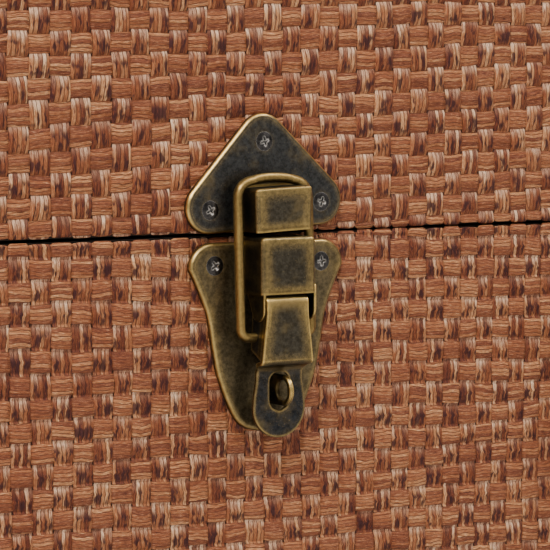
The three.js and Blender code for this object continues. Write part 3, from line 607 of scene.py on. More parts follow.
def bent_sheet(outline, holes, route, sheet):
    """A flat sheet bent along a route. The outline is in X and distance along the route, and the route is
    a list of (outwards, height) points, the sheet's middle."""
    mesh = flat_plate(outline, holes)
    route = np.array(route)
    along = lengths_along(route)
    with editing(mesh) as work:
        for cut in along[1:-1]:
            bmesh.ops.bisect_plane(
                work, geom=[*work.verts, *work.edges, *work.faces], plane_co=(0, cut, 0), plane_no=(0, 1, 0))
        for vert in work.verts:
            vert.co = (vert.co.x, -np.interp(vert.co.y, along, route[:, 0]),
                       np.interp(vert.co.y, along, route[:, 1]))
        bmesh.ops.remove_doubles(work, verts=work.verts, dist=0.12)
        work.normal_update()
    return evaluated(mesh, ("SOLIDIFY", dict(thickness=sheet, offset=0)),
                     bevel(SOFTENED, 3, 50, use_clamp_overlap=False))


def rounded_bar(half, low, high, radius):
    """The outline stretched round circles on both sides of X = 0, at two heights."""
    return outline_around([(-half, low, radius), (half, low, radius), (half, high, radius),
                           (-half, high, radius)])


def lengths_along(points):
    """How far along a line each of its points is."""
    return np.concatenate([[0], np.cumsum(np.hypot(*np.diff(np.array(points), axis=0).T))])


def wire(points, radius, sides=5, ends=True):
    """A round bar through a list of points."""
    data = bpy.data.curves.new("wire", "CURVE")
    data.dimensions, data.bevel_depth, data.bevel_resolution = "3D", radius, sides
    data.use_fill_caps = ends
    spline = data.splines.new("POLY")
    spline.points.add(len(points) - 1)
    spline.points.foreach_set("co", [value for point in points for value in (*point, 1)])
    mesh = evaluated(data)
    bpy.data.curves.remove(data)
    return weld(mesh)


def turned(profile, sides=40):
    """A profile of (radius, height) points turned about Z."""
    mesh = new_mesh()
    with editing(mesh) as work:
        rings = []
        for radius, height in profile:
            if radius < 1e-6:
                rings.append([work.verts.new((0, 0, height))])
            else:
                rings.append([work.verts.new((*point, height)) for point in circle(0, 0, radius, sides)])
        for low, high in zip(rings, rings[1:]):
            for n in range(sides):
                m = (n + 1) % sides
                corners = [low[n % len(low)], low[m % len(low)], high[m % len(high)], high[n % len(high)]]
                unique = list(dict.fromkeys(corners))
                if len(unique) > 2:
                    work.faces.new(unique)
    return mesh


def bar(radius, low, high, sides=20):
    """A round bar along X."""
    return placed(turned([(0, low), (radius, low), (radius, high), (0, high)], sides), ALONG_X)


def screw_head(radius, dome):
    """A countersunk cross-recess head, its rim at Z = 0 and its face towards +Z."""
    rim = [(radius * math.cos(a), dome * math.sin(a)) for a in np.linspace(0, math.pi / 2, 7)]
    head = turned([(0, -1.2), (radius * 0.6, -1.2), (radius - 0.1, -0.12), *rim[:-1], (0, dome)], 32)
    weld(head)
    recess = new_mesh()
    arm = 2.6 / 2.2  # length of the recess's arms, in radii of the head
    with editing(recess) as work:
        for turn in (0, math.pi / 2):
            wing = bmesh.ops.create_cube(work, size=1)["verts"]
            for vert in wing:
                depth = 1.0 if vert.co.z > 0 else 0.45
                vert.co = (vert.co.x * arm * radius * depth, vert.co.y * 0.62 * depth, 0.9 * vert.co.z + 0.35)
            bmesh.ops.rotate(work, verts=wing, cent=(0, 0, 0), matrix=Matrix.Rotation(turn, 3, "Z"))
    cutter = bpy.data.objects.new("recess", recess)
    scene.collection.objects.link(cutter)
    mesh = evaluated(head, ("BOOLEAN", dict(object=cutter, operation="DIFFERENCE", use_self=True)))
    bpy.data.objects.remove(cutter)
    return mesh


def screws(places, out, turns, head):
    """One mesh of screw heads at (x, z) places on the front, standing out from it."""
    return joined(*[
        placed(head, Matrix.Rotation(math.radians(turn), 4, "Z"), FACING, shifted(x, -out, z))
        for (x, z), turn in zip(places, turns)])


# ---- Latches, in millimetres from where the seam passes behind the middle of each ----

LATCH_SCALE = 0.87
PLATE, PLATE_THICKNESS = 1.4, 2.6  # standoff of the plates' faces
PIVOT = (6.8, -17.2)  # outwards and up
BARREL = 3.4
LEVER_FACE, FACE_END, LEVER_SHEET = 10.2, -29.3, 1.0
ROLL = 5.5  # how square the lever's bend over its pin is: 2 is round
TAB, TAB_END = 6.0, -46.9
LIP, HOLLOW = 0.7, 3.3  # radii of the two bends between the lever's face and its tab
ANCHOR = (5.9, -23.5)
WIRE = 1.12
LEG_X, ARCH_TOP, ARCH_RADIUS, SHOULDER, HOOK = 9.6, 13.0, 27.0, 4.2, 2.5
BAIL_LEAN = 1.6  # how much nearer the case the bail's arch is than its ends
SLOT = ((0, -37.9, 2.7), (0, -34.1, 2.7))
EYE = (6.6, -36.0)
LOWER_SHIFT = 0.7  # the lower plate and what it carries sit a little to the right of the strike plate
STRIKE_MIDDLE, STRIKE_TURN = 9, 2.3  # the left strike plate is turned a little about its middle, in degrees
RIM = 1.1  # rounding of the plates' edges, and the slope of their screw holes
SCREW_HOLE = 1.3
SCREW_OUT = PLATE - 0.2
UPPER_SCREWS = ((-15.2, 6.3), (15.2, 6.3), (0, 21.2))
LOWER_SCREWS = ((-14.6, -7), (14.6, -7))


def spline_through(points, steps=10):
    """A smooth line through points (Catmull-Rom)."""
    points = np.array([2 * np.array(points[0]) - points[1], *points, 2 * np.array(points[-1]) - points[-2]])
    line = []
    for a, b, c, d in zip(points, points[1:], points[2:], points[3:]):
        for k in np.arange(steps) / steps:
            line.append(0.5 * (2 * b + (c - a) * k + (2 * a - 5 * b + 4 * c - d) * k ** 2
                               + (3 * b - a - 3 * c + d) * k ** 3))
    return [tuple(point) for point in [*line, points[-2]]]


def mirrored(points):
    """The points on the other side of X = 0, in reverse order."""
    return [(-x, y) for x, y in points[::-1]]


def screwed_plate(outline, screw_places):
    """A latch plate with holes for its screws."""
    holes = [circle(x, z, SCREW_HOLE) for x, z in screw_places]
    return placed(flat_plate(outline, holes, PLATE_THICKNESS, RIM, 6), FACING, shifted(y=-PLATE))


def side_plate(x, outline, holes, *sizes):
    """A flat plate standing out from the front, its left face at x. Its outline is in outwards and Z."""
    return placed(flat_plate(outline, holes, *sizes), SIDEWAYS, shifted(x))


def latch_back_plate():
    side = spline_through([
        (21, -7.8), (18.9, -12), (16.2, -18.6), (14.7, -26.7), (12.8, -34.3), (7.8, -43.8), (0, -46.5)])
    right = arc(15, -7.8, 6, math.pi / 2, 0, 12) + side[1:]
    outline = right + mirrored(right[:-1])
    housing = stamped_box(7.3, 10.3, 1.2, -13.5, -0.4)
    lobe = outline_around([(*PIVOT, 2.7), (9.0, -12, 0.5), (1.6, -8, 0.5), (1.6, -11, 0.5)])
    sides = [side_plate(x, lobe, (), 0.7, 0.25, 2) for x in (-6.5, 7.2)]
    return joined(screwed_plate(outline[::-1], LOWER_SCREWS), housing, *sides)


def latch_strike_plate(turn):
    outline = outline_around([(-15.2, 6.8, 6), (15.2, 6.8, 6), (0, 21.2, 6.5)], 14)
    catch = stamped_box(7.75, 9.1, 1.2, 0.8, 10.9, lean=0.7, taper=0.3)
    return placed(joined(screwed_plate(outline, UPPER_SCREWS), placed(catch, shifted(0.45))), turn)


def latch_lever():
    """A channel with a rolled top round the pin, a flat face, and below a lip a set-back tab with a slot."""
    centre = LEVER_FACE - LEVER_SHEET / 2
    roll = []
    for a in np.linspace(2.5, 0, 30):
        reach = (centre - PIVOT[0]) / (abs(math.cos(a)) ** ROLL + abs(math.sin(a)) ** ROLL) ** (1 / ROLL)
        roll.append((PIVOT[0] + reach * math.cos(a), PIVOT[1] + reach * math.sin(a)))
    face = [(centre, z) for z in np.linspace(PIVOT[1], FACE_END + LIP, 6)[1:-1]]
    lip = arc(centre - LIP, FACE_END + LIP, LIP, 0, -1.4, 5)
    hollow = arc(TAB + HOLLOW, FACE_END - HOLLOW, HOLLOW, 1.62, math.pi, 10)
    tab = [(TAB, z) for z in np.linspace(FACE_END - HOLLOW, TAB_END, 4)[1:]]
    route = roll + face + lip + hollow + tab
    lengths = lengths_along(route)
    first = len(roll) - 1

    def down(z):
        """How far along the route the height z is."""
        return float(np.interp(-z, [-point[1] for point in route[first:]], lengths[first:]))

    half_width, tip_rise = 7.1, 7.0
    tip = [(half_width * math.cos(a), lengths[-1] - tip_rise + tip_rise * math.sin(a))
           for a in np.linspace(0, math.pi, 25)]
    half = [(x, down(z)) for x, z in (
        (5.7, -18), (half_width, FACE_END), (half_width, FACE_END - 0.4), (6.3, FACE_END - 1.6),
        (6.2, -33.4), (6.6, -35.6), (6.9, -37.4))]
    outline = [(-5.6, 0), (5.6, 0), *half, *tip, *mirrored(half)]
    hole = [(x, down(z)) for x, z in outline_around(SLOT)]
    strip = bent_sheet(outline, [hole], route, LEVER_SHEET)
    flange = outline_around([(centre - 0.6, FACE_END + 1.2, 0.5), (*PIVOT, BARREL - 0.2), (5.2, -26, 0.7)])
    thickness = 0.8
    walls = []
    for side in (-1, 1):
        wall = side_plate(0, flange, (), thickness, 0.25, 2)
        for vert in wall.vertices:
            lean = np.interp(-vert.co.z, [18, -FACE_END], [5.6, 7.0])
            vert.co.x += side * lean - (1 + side) * thickness / 2
        walls.append(wall)
    pin = placed(bar(1.2, -5.8, 6.9), shifted(0, -PIVOT[0], PIVOT[1]))
    return placed(joined(strip, *walls, pin), shifted(-0.35))


def latch_bail():
    out, anchor_z = ANCHOR
    shoulder_x = LEG_X - SHOULDER
    shoulder_z = ARCH_TOP - (ARCH_RADIUS - math.sqrt(ARCH_RADIUS ** 2 - shoulder_x ** 2))

    def bend(a, b, c, steps=8):
        return [tuple((1 - k) ** 2 * p + 2 * k * (1 - k) * q + k * k * r for p, q, r in zip(a, b, c))
                for k in np.linspace(0, 1, steps)]

    right = [(5.2, anchor_z), *bend((LEG_X - HOOK, anchor_z), (LEG_X, anchor_z), (LEG_X, anchor_z + HOOK)),
             *bend((LEG_X, shoulder_z - SHOULDER), (LEG_X, shoulder_z - 0.6), (shoulder_x, shoulder_z))]
    arch = bend((shoulder_x, shoulder_z), (0, 2 * ARCH_TOP - shoulder_z), (-shoulder_x, shoulder_z), 14)
    slant = BAIL_LEAN / (ARCH_TOP - anchor_z)
    line = right + arch[1:-1] + mirrored(right)
    return wire([(x - 0.8, slant * (z - anchor_z) - out, z) for x, z in line], WIRE)


def latch_eye():
    eye_out, eye_z = EYE
    outline = outline_around([(1.2, eye_z - 3.1, 0.5), (eye_out, eye_z, 3.6), (1.2, eye_z + 3.1, 0.5)], 14)
    return side_plate(0.2, outline, [circle(eye_out - 0.1, eye_z, 2.3)], 1.2, 0.4, 3)


def add_latches():
    head = screw_head(2.45, 0.5)
    middle = shifted(z=STRIKE_MIDDLE)
    for side, x, degrees in (("left", -LATCH_X, STRIKE_TURN), ("right", LATCH_X, 0)):
        turn = middle @ Matrix.Rotation(-math.radians(degrees), 4, "Y") @ middle.inverted()
        upper_place = at(x, FRONT, SEAM, LATCH_SCALE * MM)
        lower_place = upper_place @ shifted(LOWER_SHIFT)
        parts = {
            f"latch_plate_{side}": (latch_back_plate(), "base", bronze),
            f"strike_plate_{side}": (latch_strike_plate(turn), "lid", strike_bronze),
            f"latch_lever_{side}": (latch_lever(), f"lever_{side}", lever_bronze),
            f"latch_bail_{side}": (latch_bail(), f"bail_{side}", wire_bronze),
            f"padlock_eye_{side}": (latch_eye(), "base", eye_bronze),
        }
        for node, (mesh, body, paint) in parts.items():
            place = upper_place if body == "lid" else lower_place
            shown(f"{node}_metal", placed(smoothed(mesh), place), body, paint, [node])
        upper = placed(screws(UPPER_SCREWS, SCREW_OUT, (25, 70, 12), head), turn)
        lower = screws(LOWER_SCREWS, SCREW_OUT, (35, 5), head)
        shown(f"strike_screws_{side}", placed(smoothed(upper, 30), upper_place), "lid", screw_steel)
        shown(f"latch_screws_{side}", placed(smoothed(lower, 30), lower_place), "base", screw_steel)


def bronze_paint(name, field, step=1.6, halo=0.3, rim=1.0, gold=0.0, margin=0.6, roll=None):
    """Antique brass, dark and mottled, and rubbed to gold along its edges.

    What stands out more than step millimetres from the case is warmer than the field. The halo and rim say
    how gold the field's edges are, and margin how gold those of what stands out are. What faces down gets
    painted shade: less gold and a darker colour. The sides of what stands out are darker and less gold too.
    Above the height roll a bent top is more gold, part wear and part painted highlight; without one, lower
    edges get painted shade too."""
    p = Paint(name, metallic=1.0)
    place = p.position()
    y, z = p.split(place)[1:]
    raised = (y * -1.0 + FRONT).smooth(step * MM, (step + 1.2) * MM)
    mottle = p.noise(place, 1300, 4, 0.7)
    cloud = p.noise(place, 170, 3, 0.6)
    specks = p.noise(place, 3000, 2, 0.7)
    face_y, face_z = p.facing()[1:]
    slope = face_y.abs().inverse()
    turn = slope.smooth(0.015, 0.3) * slope.smooth(1.0, 0.7) * raised.inverse() * 0.8
    side = slope.smooth(0.75, 0.98) * raised
    # painted shade on what faces down
    downward_shade = (face_z * -1.0).smooth(0.1, 0.8)
    thin = p.edges(1.0 * MM).smooth(0.0, 0.05).largest(turn) * (raised * (1.0 - rim) + rim)
    wide = p.edges(3.4 * MM).smooth(0.0, 0.15) * (mottle.smooth(0.3, 0.7) * 0.5 + 0.5)
    gold_wear_and_light = (thin * (mottle * 0.7 + 0.55) + wide * (raised * (margin - halo) + halo)
              + cloud.smooth(0.5, 0.8) * 0.12 + specks.smooth(0.6, 0.75) * 0.12 + gold)
    if roll is None:
        # painted shade on lower edges
        downward_shade = downward_shade.largest((p.edge_facing(2.0 * MM)[2] * -1.0).smooth(0.05, 0.5) * raised)
    else:
        # part wear, part painted highlight: the lever's bent top is made more gold
        gold_wear_and_light = gold_wear_and_light + z.smooth(roll - MM, roll + 2.5 * MM) * raised * 0.3
    # painted shade: less gold on what faces down; less gold on the sides of what stands out
    gold_wear_and_light = gold_wear_and_light * (side * -0.75 + 1.0) * (downward_shade * -0.65 + 1.0)

    def tone(level):
        return p.mix(raised, *[tuple(part * level for part in colour(*shade)[:3]) + (1.0,)
                               for shade in (field, (70, 64, 53))])

    # painted shade on what faces down, and darker sides on what stands out
    darker_sides_and_shade = (side * 0.6).largest(downward_shade * 0.75)
    base = p.mix(darker_sides_and_shade, p.mix(mottle.smooth(0.3, 0.7), tone(0.65), tone(1.5)), colour(24, 22, 18))
    p.set("Base Color", p.mix(gold_wear_and_light.smallest(1.0), base, colour(242, 200, 116)))
    p.set("Roughness", mottle * 0.2 + thin * -0.12 + 0.34)
    p.bump(mottle * 0.5 + specks * 0.5, 0.02 * MM)
    return p


def screw_paint():
    p = Paint("screw_steel", metallic=1.0)
    mottle = p.noise(p.position(), 1500, 3, 0.6)
    wear = p.edges(0.5 * MM).smooth(0.0, 0.08)
    steel = p.ramp(mottle, (0.3, (44, 42, 41)), (0.7, (84, 79, 76)))
    p.set("Base Color", p.mix(wear, steel, colour(206, 198, 188)))
    p.set("Roughness", mottle * 0.2 + 0.28)
    return p


# ---- Camera, light and floor ----

def in_scene(name, data):
    item = bpy.data.objects.new(name, data)
    scene.collection.objects.link(item)
    return item


def aimed(item, direction):
    item.rotation_euler = direction.to_track_quat("-Z", "Y").to_euler()


def add_camera():
    """The camera, a little to the left of the front and aimed at the left latch."""
    azimuth, elevation, distance = math.radians(-33), math.radians(4.4), 0.509
    target = Vector((-LATCH_X + 2.9 * MM, FRONT, SEAM - 8.6 * MM))
    back = Vector((math.sin(azimuth) * math.cos(elevation), -math.cos(azimuth) * math.cos(elevation),
                   math.sin(elevation)))
    camera = in_scene("camera", bpy.data.cameras.new("camera"))
    camera.data.lens, camera.data.sensor_width, camera.data.clip_start = 165, 36, 0.01
    camera.location = target + back * distance
    aimed(camera, -back)
    scene.camera = camera


def add_softbox(name, place, size, power, aim=(0, 0, 0.07)):
    light = in_scene(name, bpy.data.lights.new(name, "AREA"))
    light.data.shape, light.data.size, light.data.size_y = "RECTANGLE", *size
    light.data.energy = power
    light.location = place
    aimed(light, Vector(aim) - Vector(place))


def add_world():
    """Soft light from all round, as bright at the horizon as the far floor, and brighter above."""
    world = bpy.data.worlds.new("studio")
    world.use_nodes = True
    nodes, links = world.node_tree.nodes, world.node_tree.links
    nodes["Background"].inputs["Color"].default_value = (1, 1, 1, 1)
    direction, up = nodes.new("ShaderNodeTexCoord"), nodes.new("ShaderNodeSeparateXYZ")
    rise = nodes.new("ShaderNodeMapRange")
    rise.inputs["To Min"].default_value, rise.inputs["To Max"].default_value = 0.192, 0.354
    links.new(direction.outputs["Generated"], up.inputs[0])
    links.new(up.outputs["Z"], rise.inputs["Value"])
    links.new(rise.outputs["Result"], nodes["Background"].inputs["Strength"])
    scene.world = world


def add_studio():
    add_camera()
    left_front = (-0.1, -0.1, 0.07)
    add_softbox("key", (-1.0, -0.9, 1.3), (0.7, 0.6), 20)
    add_softbox("top", (0.4, -0.5, 1.7), (2.2, 1.0), 15)
    add_softbox("rims", (0.83, -0.7, 1.52), (0.5, 0.4), 10, left_front)
    add_softbox("side", (-1.2, -0.5, 1.35), (0.9, 0.7), 9, left_front)
    add_softbox("fill", (1.3, -1.5, 0.9), (0.8, 0.6), 4)
    add_softbox("back", (0.4, 1.6, 1.2), (1.4, 0.9), 14)
    add_world()
    half = 15
    floor_mesh = bpy.data.meshes.new("floor")
    floor_mesh.from_pydata([(-half, -half, 0), (half, -half, 0), (half, half, 0), (-half, half, 0)], [],
                           [(0, 1, 2, 3)])
    floor_mesh.materials.append(Paint("floor", base_color=(0.64, 0.635, 0.62, 1), roughness=0.9).material)
    floor = in_scene("floor", floor_mesh)


# ---- Finishes of everything else ----

def grained(name, dark, light, scale, roughness, depth, stretch=(1, 1, 1), worn=None, **settings):
    """A finish mottled between two colours, with a fine grain, and a paler edge where it is worn."""
    p = Paint(name, **settings)
    grain = p.noise(p.value("ShaderNodeMapping", p.position(), Scale=stretch), scale, 4, 0.65)
    cloud = p.noise(p.position(), 45, 3, 0.6)
    base = p.ramp(grain * 0.6 + cloud * 0.4, (0.35, dark), (0.65, light))
    if worn:
        base = p.mix(p.edges(0.8 * MM).smooth(0.0, 0.1) * grain.smooth(0.3, 0.6) * 0.6, base, colour(*worn))
    p.set("Base Color", base)
    p.set("Roughness", grain * 0.16 + cloud * 0.1 + (roughness - 0.13))
    p.bump(grain, depth * MM)
    return p


def leather_paint():
    p = grained("leather", (74, 40, 24), (104, 60, 36), 260, 0.5, 0.0, worn=(150, 98, 62))
    place = p.position()
    cracks = p.value("ShaderNodeTexVoronoi", output="Distance", feature="DISTANCE_TO_EDGE", Vector=place,
                     Scale=620.0)
    p.bump(cracks.smooth(0.0, 0.22) + p.noise(place, 1500, 3) * 0.4, 0.16 * MM)
    return p


def circuit_paint():
    p = grained("circuit_board", (22, 66, 38), (34, 88, 50), 90, 0.4, 0.0)
    place = p.position()
    x = p.split(place)[0]
    stripes = ((x * 260).fract() - 0.5).abs().smooth(0.36, 0.42) * p.noise(place, 60, 0).smooth(0.5, 0.52)
    p.set("Base Color", p.mix(stripes, colour(26, 74, 42), colour(176, 170, 120)))
    return p


def lamp_paint():
    p = grained("lamp_lens", (150, 20, 14), (190, 34, 22), 300, 0.18, 0.0)
    p.set("Transmission Weight", 0.35)
    p.set("Coat Weight", 0.4)
    return p


# ---- Pieces that ride with CAD nodes ----

BODY_OF = {node: body for body, nodes in frame["record"]["behaviour"]["bodies"].items() for node in nodes}
SLOT_OF = {row["node"]: row["material_slot"] for row in frame["record"]["subparts"]}
REARWARDS = Matrix.Rotation(math.pi, 4, "Z")


def finish_of(node):
    return PAINTS[SLOT_OF[node]]


def stand_in_for(node, mesh, paint=None, angle=40):
    """A detailed piece, its mesh in metres, in the place of a CAD node."""
    return shown(f"{node}_shape", smoothed(mesh, angle), BODY_OF[node],
                 paint or finish_of(node), [node])


def extra(name, mesh, like, slot, paint=None, angle=40):
    """A detail that the CAD model lacks, riding with one of its nodes."""
    return shown(name, smoothed(mesh, angle), BODY_OF[like], paint or PAINTS[slot])


def add_screws(name, like, place, *spread):
    """Screws on a CAD node, spread as for screws()."""
    extra(name, placed(screws(*spread), place), like, "steel", screw_steel, 30)


def refined(node, width=0.4):
    """The CAD node's own shape with its edges rounded by so many millimetres."""
    mesh = new_mesh()
    with editing(mesh) as work:
        work.from_mesh(frame["nodes"][node].data)
        bmesh.ops.remove_doubles(work, verts=work.verts, dist=1e-6)
        bmesh.ops.dissolve_limit(work, angle_limit=math.radians(0.5), verts=work.verts, edges=work.edges)
        bmesh.ops.scale(work, vec=(1000, 1000, 1000), verts=work.verts)
    return stand_in_for(node, placed(evaluated(mesh, bevel(width, 2, 50)), Matrix.Scale(MM, 4)), angle=48)


def middle_of(node):
    low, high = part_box(node)
    return (low + high) / 2


def at(x, y, z, scale=MM):
    """From millimetres about a place in the frame to the frame's metres."""
    return Matrix.Translation((x, y, z)) @ Matrix.Scale(scale, 4)


def round_node(node):
    """The place of the foot of a round CAD node, and its radius and height in millimetres."""
    low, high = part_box(node)
    size = (high - low) / MM
    return at((low.x + high.x) / 2, (low.y + high.y) / 2, low.z), size.x / 2, size.z


def swept(points, radii, sides=28, squash=1.0):
    """A round bar of changing thickness through points in one upright plane facing -Y."""
    points = np.array(points, float)
    tangent = np.gradient(points, axis=0)
    tangent /= np.linalg.norm(tangent, axis=1)[:, None]
    across = np.stack([tangent[:, 2], 0 * tangent[:, 0], -tangent[:, 0]], -1)
    deep = squash * np.array((0, 1, 0))
    mesh = new_mesh()
    with editing(mesh) as work:
        rings = []
        for point, side, radius in zip(points, across, radii):
            rings.append([
                work.verts.new(point + radius * (math.cos(a) * side + math.sin(a) * deep))
                for a in np.linspace(0, 2 * math.pi, sides, endpoint=False)])
        for low, high in zip(rings, rings[1:]):
            for n in range(sides):
                m = (n + 1) % sides
                work.faces.new([low[n], low[m], high[m], high[n]])
        for ring in (rings[0], rings[-1]):
            work.faces.new(ring)
        bmesh.ops.recalc_face_normals(work, faces=work.faces)
    return mesh


# ---- Handle ----

def add_handle():
    """A leather-covered grip, stitched along its outside, between two screwed brackets."""
    bracket = middle_of("handle_bracket_left")
    bracket_x, height, standoff = abs(bracket.x) / MM, bracket.z, 9
    place = at(0, FRONT, height)
    half = [(-33, 0), (-34.4, -8), (-29, -20.4), (-15, -26.8)]
    line = spline_through([*half, (0, -27.9), *mirrored(half)], 7)
    radii = 5.0 + 1.9 * np.clip((1 - np.linspace(-1, 1, len(line)) ** 4), 0, 1)
    grip = swept([(x, -standoff, z) for x, z in line], radii, squash=0.96)
    collar = turned([(0, -7), (4.2, -7), (5.0, -6), (5.3, 0), (5.0, 6), (4.2, 7), (0, 7)], 28)
    pin = turned([(0, -9), (1.6, -9), (1.9, -8.6), (1.9, 8.6), (1.6, 9), (0, 9)], 20)
    ends = [placed(mesh, ALONG_X, shifted(side * x, -standoff))
            for mesh, x in ((collar, 35.5), (pin, bracket_x - 4.6)) for side in (-1, 1)]
    stand_in_for("handle_grip", placed(joined(grip, *ends), place), leather)

    out, sag, thread_radius = -standoff - 5.9, 0.2, 0.28
    inner = line[6:-6]
    stitches = [
        wire([(x0, out, z0 + lift), ((x0 + x1) / 2, out - sag, (z0 + z1) / 2 + lift), (x1, out, z1 + lift)],
             thread_radius, 2)
        for (x0, z0), (x1, z1) in zip(inner[:-1:2], inner[1::2]) for lift in (2.6, -2.6)]
    extra("handle_stitches", placed(joined(*stitches), place), "handle_grip", "leather", thread)

    head = screw_head(1.5, 0.4)
    for side, x in (("left", -bracket_x), ("right", bracket_x)):
        plate = placed(flat_plate(rounded_bar(5, -7, 7, 3), (), 1.6, 0.7, 4), FACING, shifted(y=-1.6))
        ear = outline_around([(0.9, -6, 0.5), (standoff, 0, 3.8), (0.9, 6, 0.5)])
        ear = side_plate(1.4, ear, [circle(standoff, 0, 2.1)], 2.8, 0.5, 3)
        here = at(x * MM, FRONT, height)
        stand_in_for(f"handle_bracket_{side}", placed(joined(plate, ear), here))
        corners = [(dx, dz) for dx in (-4.9, 4.9) for dz in (-6.8, 6.8)]
        add_screws(f"handle_screws_{side}", f"handle_bracket_{side}", here, corners, 1.3, (10, 50, 75, 30),
                   head)


# ---- Hinges and the rear panel ----

def add_back():
    head = screw_head(1.9, 0.4)
    for side in ("left", "right"):
        for leaf, lift in (("lid", 13.0), ("base", -13.0)):
            node = f"hinge_leaf_{leaf}_{side}"
            refined(node, 0.3)
            place = at(middle_of(node).x, BACK, SEAM) @ REARWARDS
            add_screws(f"hinge_screws_{leaf}_{side}", node, place, [(x, lift) for x in (-13, 0, 13)], 1.5,
                       (20, 65, 40), head)
        refined(f"hinge_pin_{side}", 0.4)

    low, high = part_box("rear_panel")
    refined("rear_panel", 0.5)
    refined("dc_inlet", 0.4)
    refined("rca_sockets", 0.4)
    middle = middle_of("rear_panel")
    inset = 4
    half_x, half_z = (high.x - low.x) / 2 / MM - inset, (high.z - low.z) / 2 / MM - inset
    corners = [(x, z) for x in (-half_x, half_x) for z in (-half_z, half_z)]
    add_screws("rear_panel_screws", "rear_panel", at(middle.x, BACK, middle.z) @ REARWARDS, corners, 1.6,
               (15, 60, 35, 80), screw_head(1.6, 0.4))
    ring = [(1.9, -0.6), (3.3, -0.6), (3.3, 0.2), (3.1, 0.4), (2.1, 0.4), (1.9, 0.2), (1.9, -0.6)]
    ring = placed(turned(ring, 32), ALONG_Y.inverted())
    for name, x, paint in (("red", -14, red_insert), ("white", 6, PAINTS["cream_plastic"])):
        place = at(x * MM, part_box("rca_sockets")[1].y, middle.z)
        extra(f"socket_ring_{name}", placed(ring, place), "rca_sockets", "cream_plastic", paint)


# ---- Deck ----

ARM_HEIGHT = 106 * MM
KNOB_RISE = 13.0
FIRST_TICK, LAST_TICK, TICK_STEP = -135, 135, 27  # degrees


def add_turntable():
    place, radius, rise = round_node("platter")
    hub, wheel = 4.0, 69.0
    rim = [(radius - 4, 0), (radius - 0.6, 0), (radius, 0.6), (radius, 2.4), (radius - 0.8, 2.9),
           (radius - 0.8, 3.5), (radius, 4.0), (radius, rise - 1.6), (radius - 0.5, rise - 0.5),
           (radius - 1.6, rise)]
    profile = [(hub, 1), (9, 1), (9, rise - 3), (wheel - 4, rise - 3), (wheel - 4, 1), (wheel, 1),
               (wheel, rise - 3), (radius - 4, rise - 3), *rim, (hub, rise), (hub, 1)]
    stand_in_for("platter", placed(weld(turned(profile, 144)), place))

    place, radius, rise = round_node("slipmat")
    profile = [(hub, 0), (radius - 0.4, 0), (radius, 0.5), (radius, rise - 0.6), (radius - 0.5, rise),
               (52, rise), (51, rise - 0.5), (50, rise), (hub + 0.6, rise), (hub, rise - 0.5), (hub, 0)]
    stand_in_for("slipmat", placed(weld(turned(profile, 144)), place))


def add_tonearm():
    low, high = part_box("tonearm")
    pivot = middle_of("tonearm_gimbal")
    back, head_end = (high.y - pivot.y) / MM, (pivot.y - low.y) / MM
    tube = turned([(0, -13), (4.4, -13), (4.4, 40), (3.9, 60), (3.6, 150), (3.9, 172), (3.4, 173),
                   (0, 173)], 32)
    ribs = [(8.4 if n % 2 else 8.9, 2 + 0.9 * n - back) for n in range(18)]
    weight = turned([(0, -back), (7.6, -back), (8.9, 1.3 - back), *ribs, (8.9, 18.5 - back),
                     (8, 23 - back), (0, 23 - back)], 48)
    shell = outline_around([(-6, -head_end + 2, 2), (6, -head_end + 2, 2), (4, -171, 1.5), (-4, -171, 1.5)])
    shell = placed(flat_plate(shell, (), 5, 1.4, 4), shifted(z=3))
    lift = wire([(6, 5 - head_end, 1), (9, 5 - head_end, 1), (12, 4.6 - head_end, 1.6),
                 (13.4, 4 - head_end, 3.4)], 0.7)
    arm = joined(placed(tube, ALONG_Y), placed(weight, ALONG_Y), shell, lift, bar(1.2, -9.8, 9.8, 16))
    stand_in_for("tonearm", placed(arm, at(pivot.x, pivot.y, ARM_HEIGHT)))


def fluted_knob(radius, rise, shaft):
    """A knob with a fluted side and a turned top, its underside at Z = 0."""
    profile = [(radius, 0), (radius, 0.8), (radius - 0.5, 1.2), (radius - 1, rise - 1.4),
               (radius - 1.8, rise - 0.4), (radius - 3, rise), (radius - 4, rise - 0.4), (0, rise - 0.4)]
    mesh = turned([(0, -shaft), (3, -shaft), (3, 0), *profile], 120)
    flutes, depth = 30, 0.045
    for vert in mesh.vertices:
        if 1.1 < vert.co.z < rise - 1 and math.hypot(vert.co.x, vert.co.y) > radius - 2:
            swing = 0.5 + 0.5 * math.cos(flutes * math.atan2(vert.co.y, vert.co.x))
            vert.co.xy *= 1 - depth * swing
    return weld(mesh)


def add_knob(node):
    """A knob with a raised pointer, and the scale on the deck round it."""
    place, radius, height = round_node(node)
    shaft = height - KNOB_RISE
    place = place @ shifted(z=shaft)
    stand_in_for(node, placed(fluted_knob(radius, KNOB_RISE, shaft), place), angle=30)
    pointer = flat_plate(rounded_bar(0.3, radius - 8, radius - 2.6, 0.3), (), 0.8, 0.15, 2)
    lowest = Matrix.Rotation(-math.radians(FIRST_TICK), 4, "Z")  # the pointer rests at the first tick
    extra(f"{node}_pointer", placed(pointer, lowest, shifted(z=KNOB_RISE - 0.15), place), node,
          "black_plastic")
    tick = flat_plate(rounded_bar(0.25, radius + 1.6, radius + 3.4, 0.25), (), 0.3, 0.1, 1)
    ticks = [placed(tick, Matrix.Rotation(math.radians(degrees), 4, "Z"), shifted(z=0.12))
             for degrees in range(FIRST_TICK, LAST_TICK + 1, TICK_STEP)]
    deck_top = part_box("rim_liner")[0].z - 0.3 * MM
    extra(f"{node}_scale", placed(joined(*ticks), at(*place.translation.xy, deck_top)), "deck_panel",
          "cream_plastic")


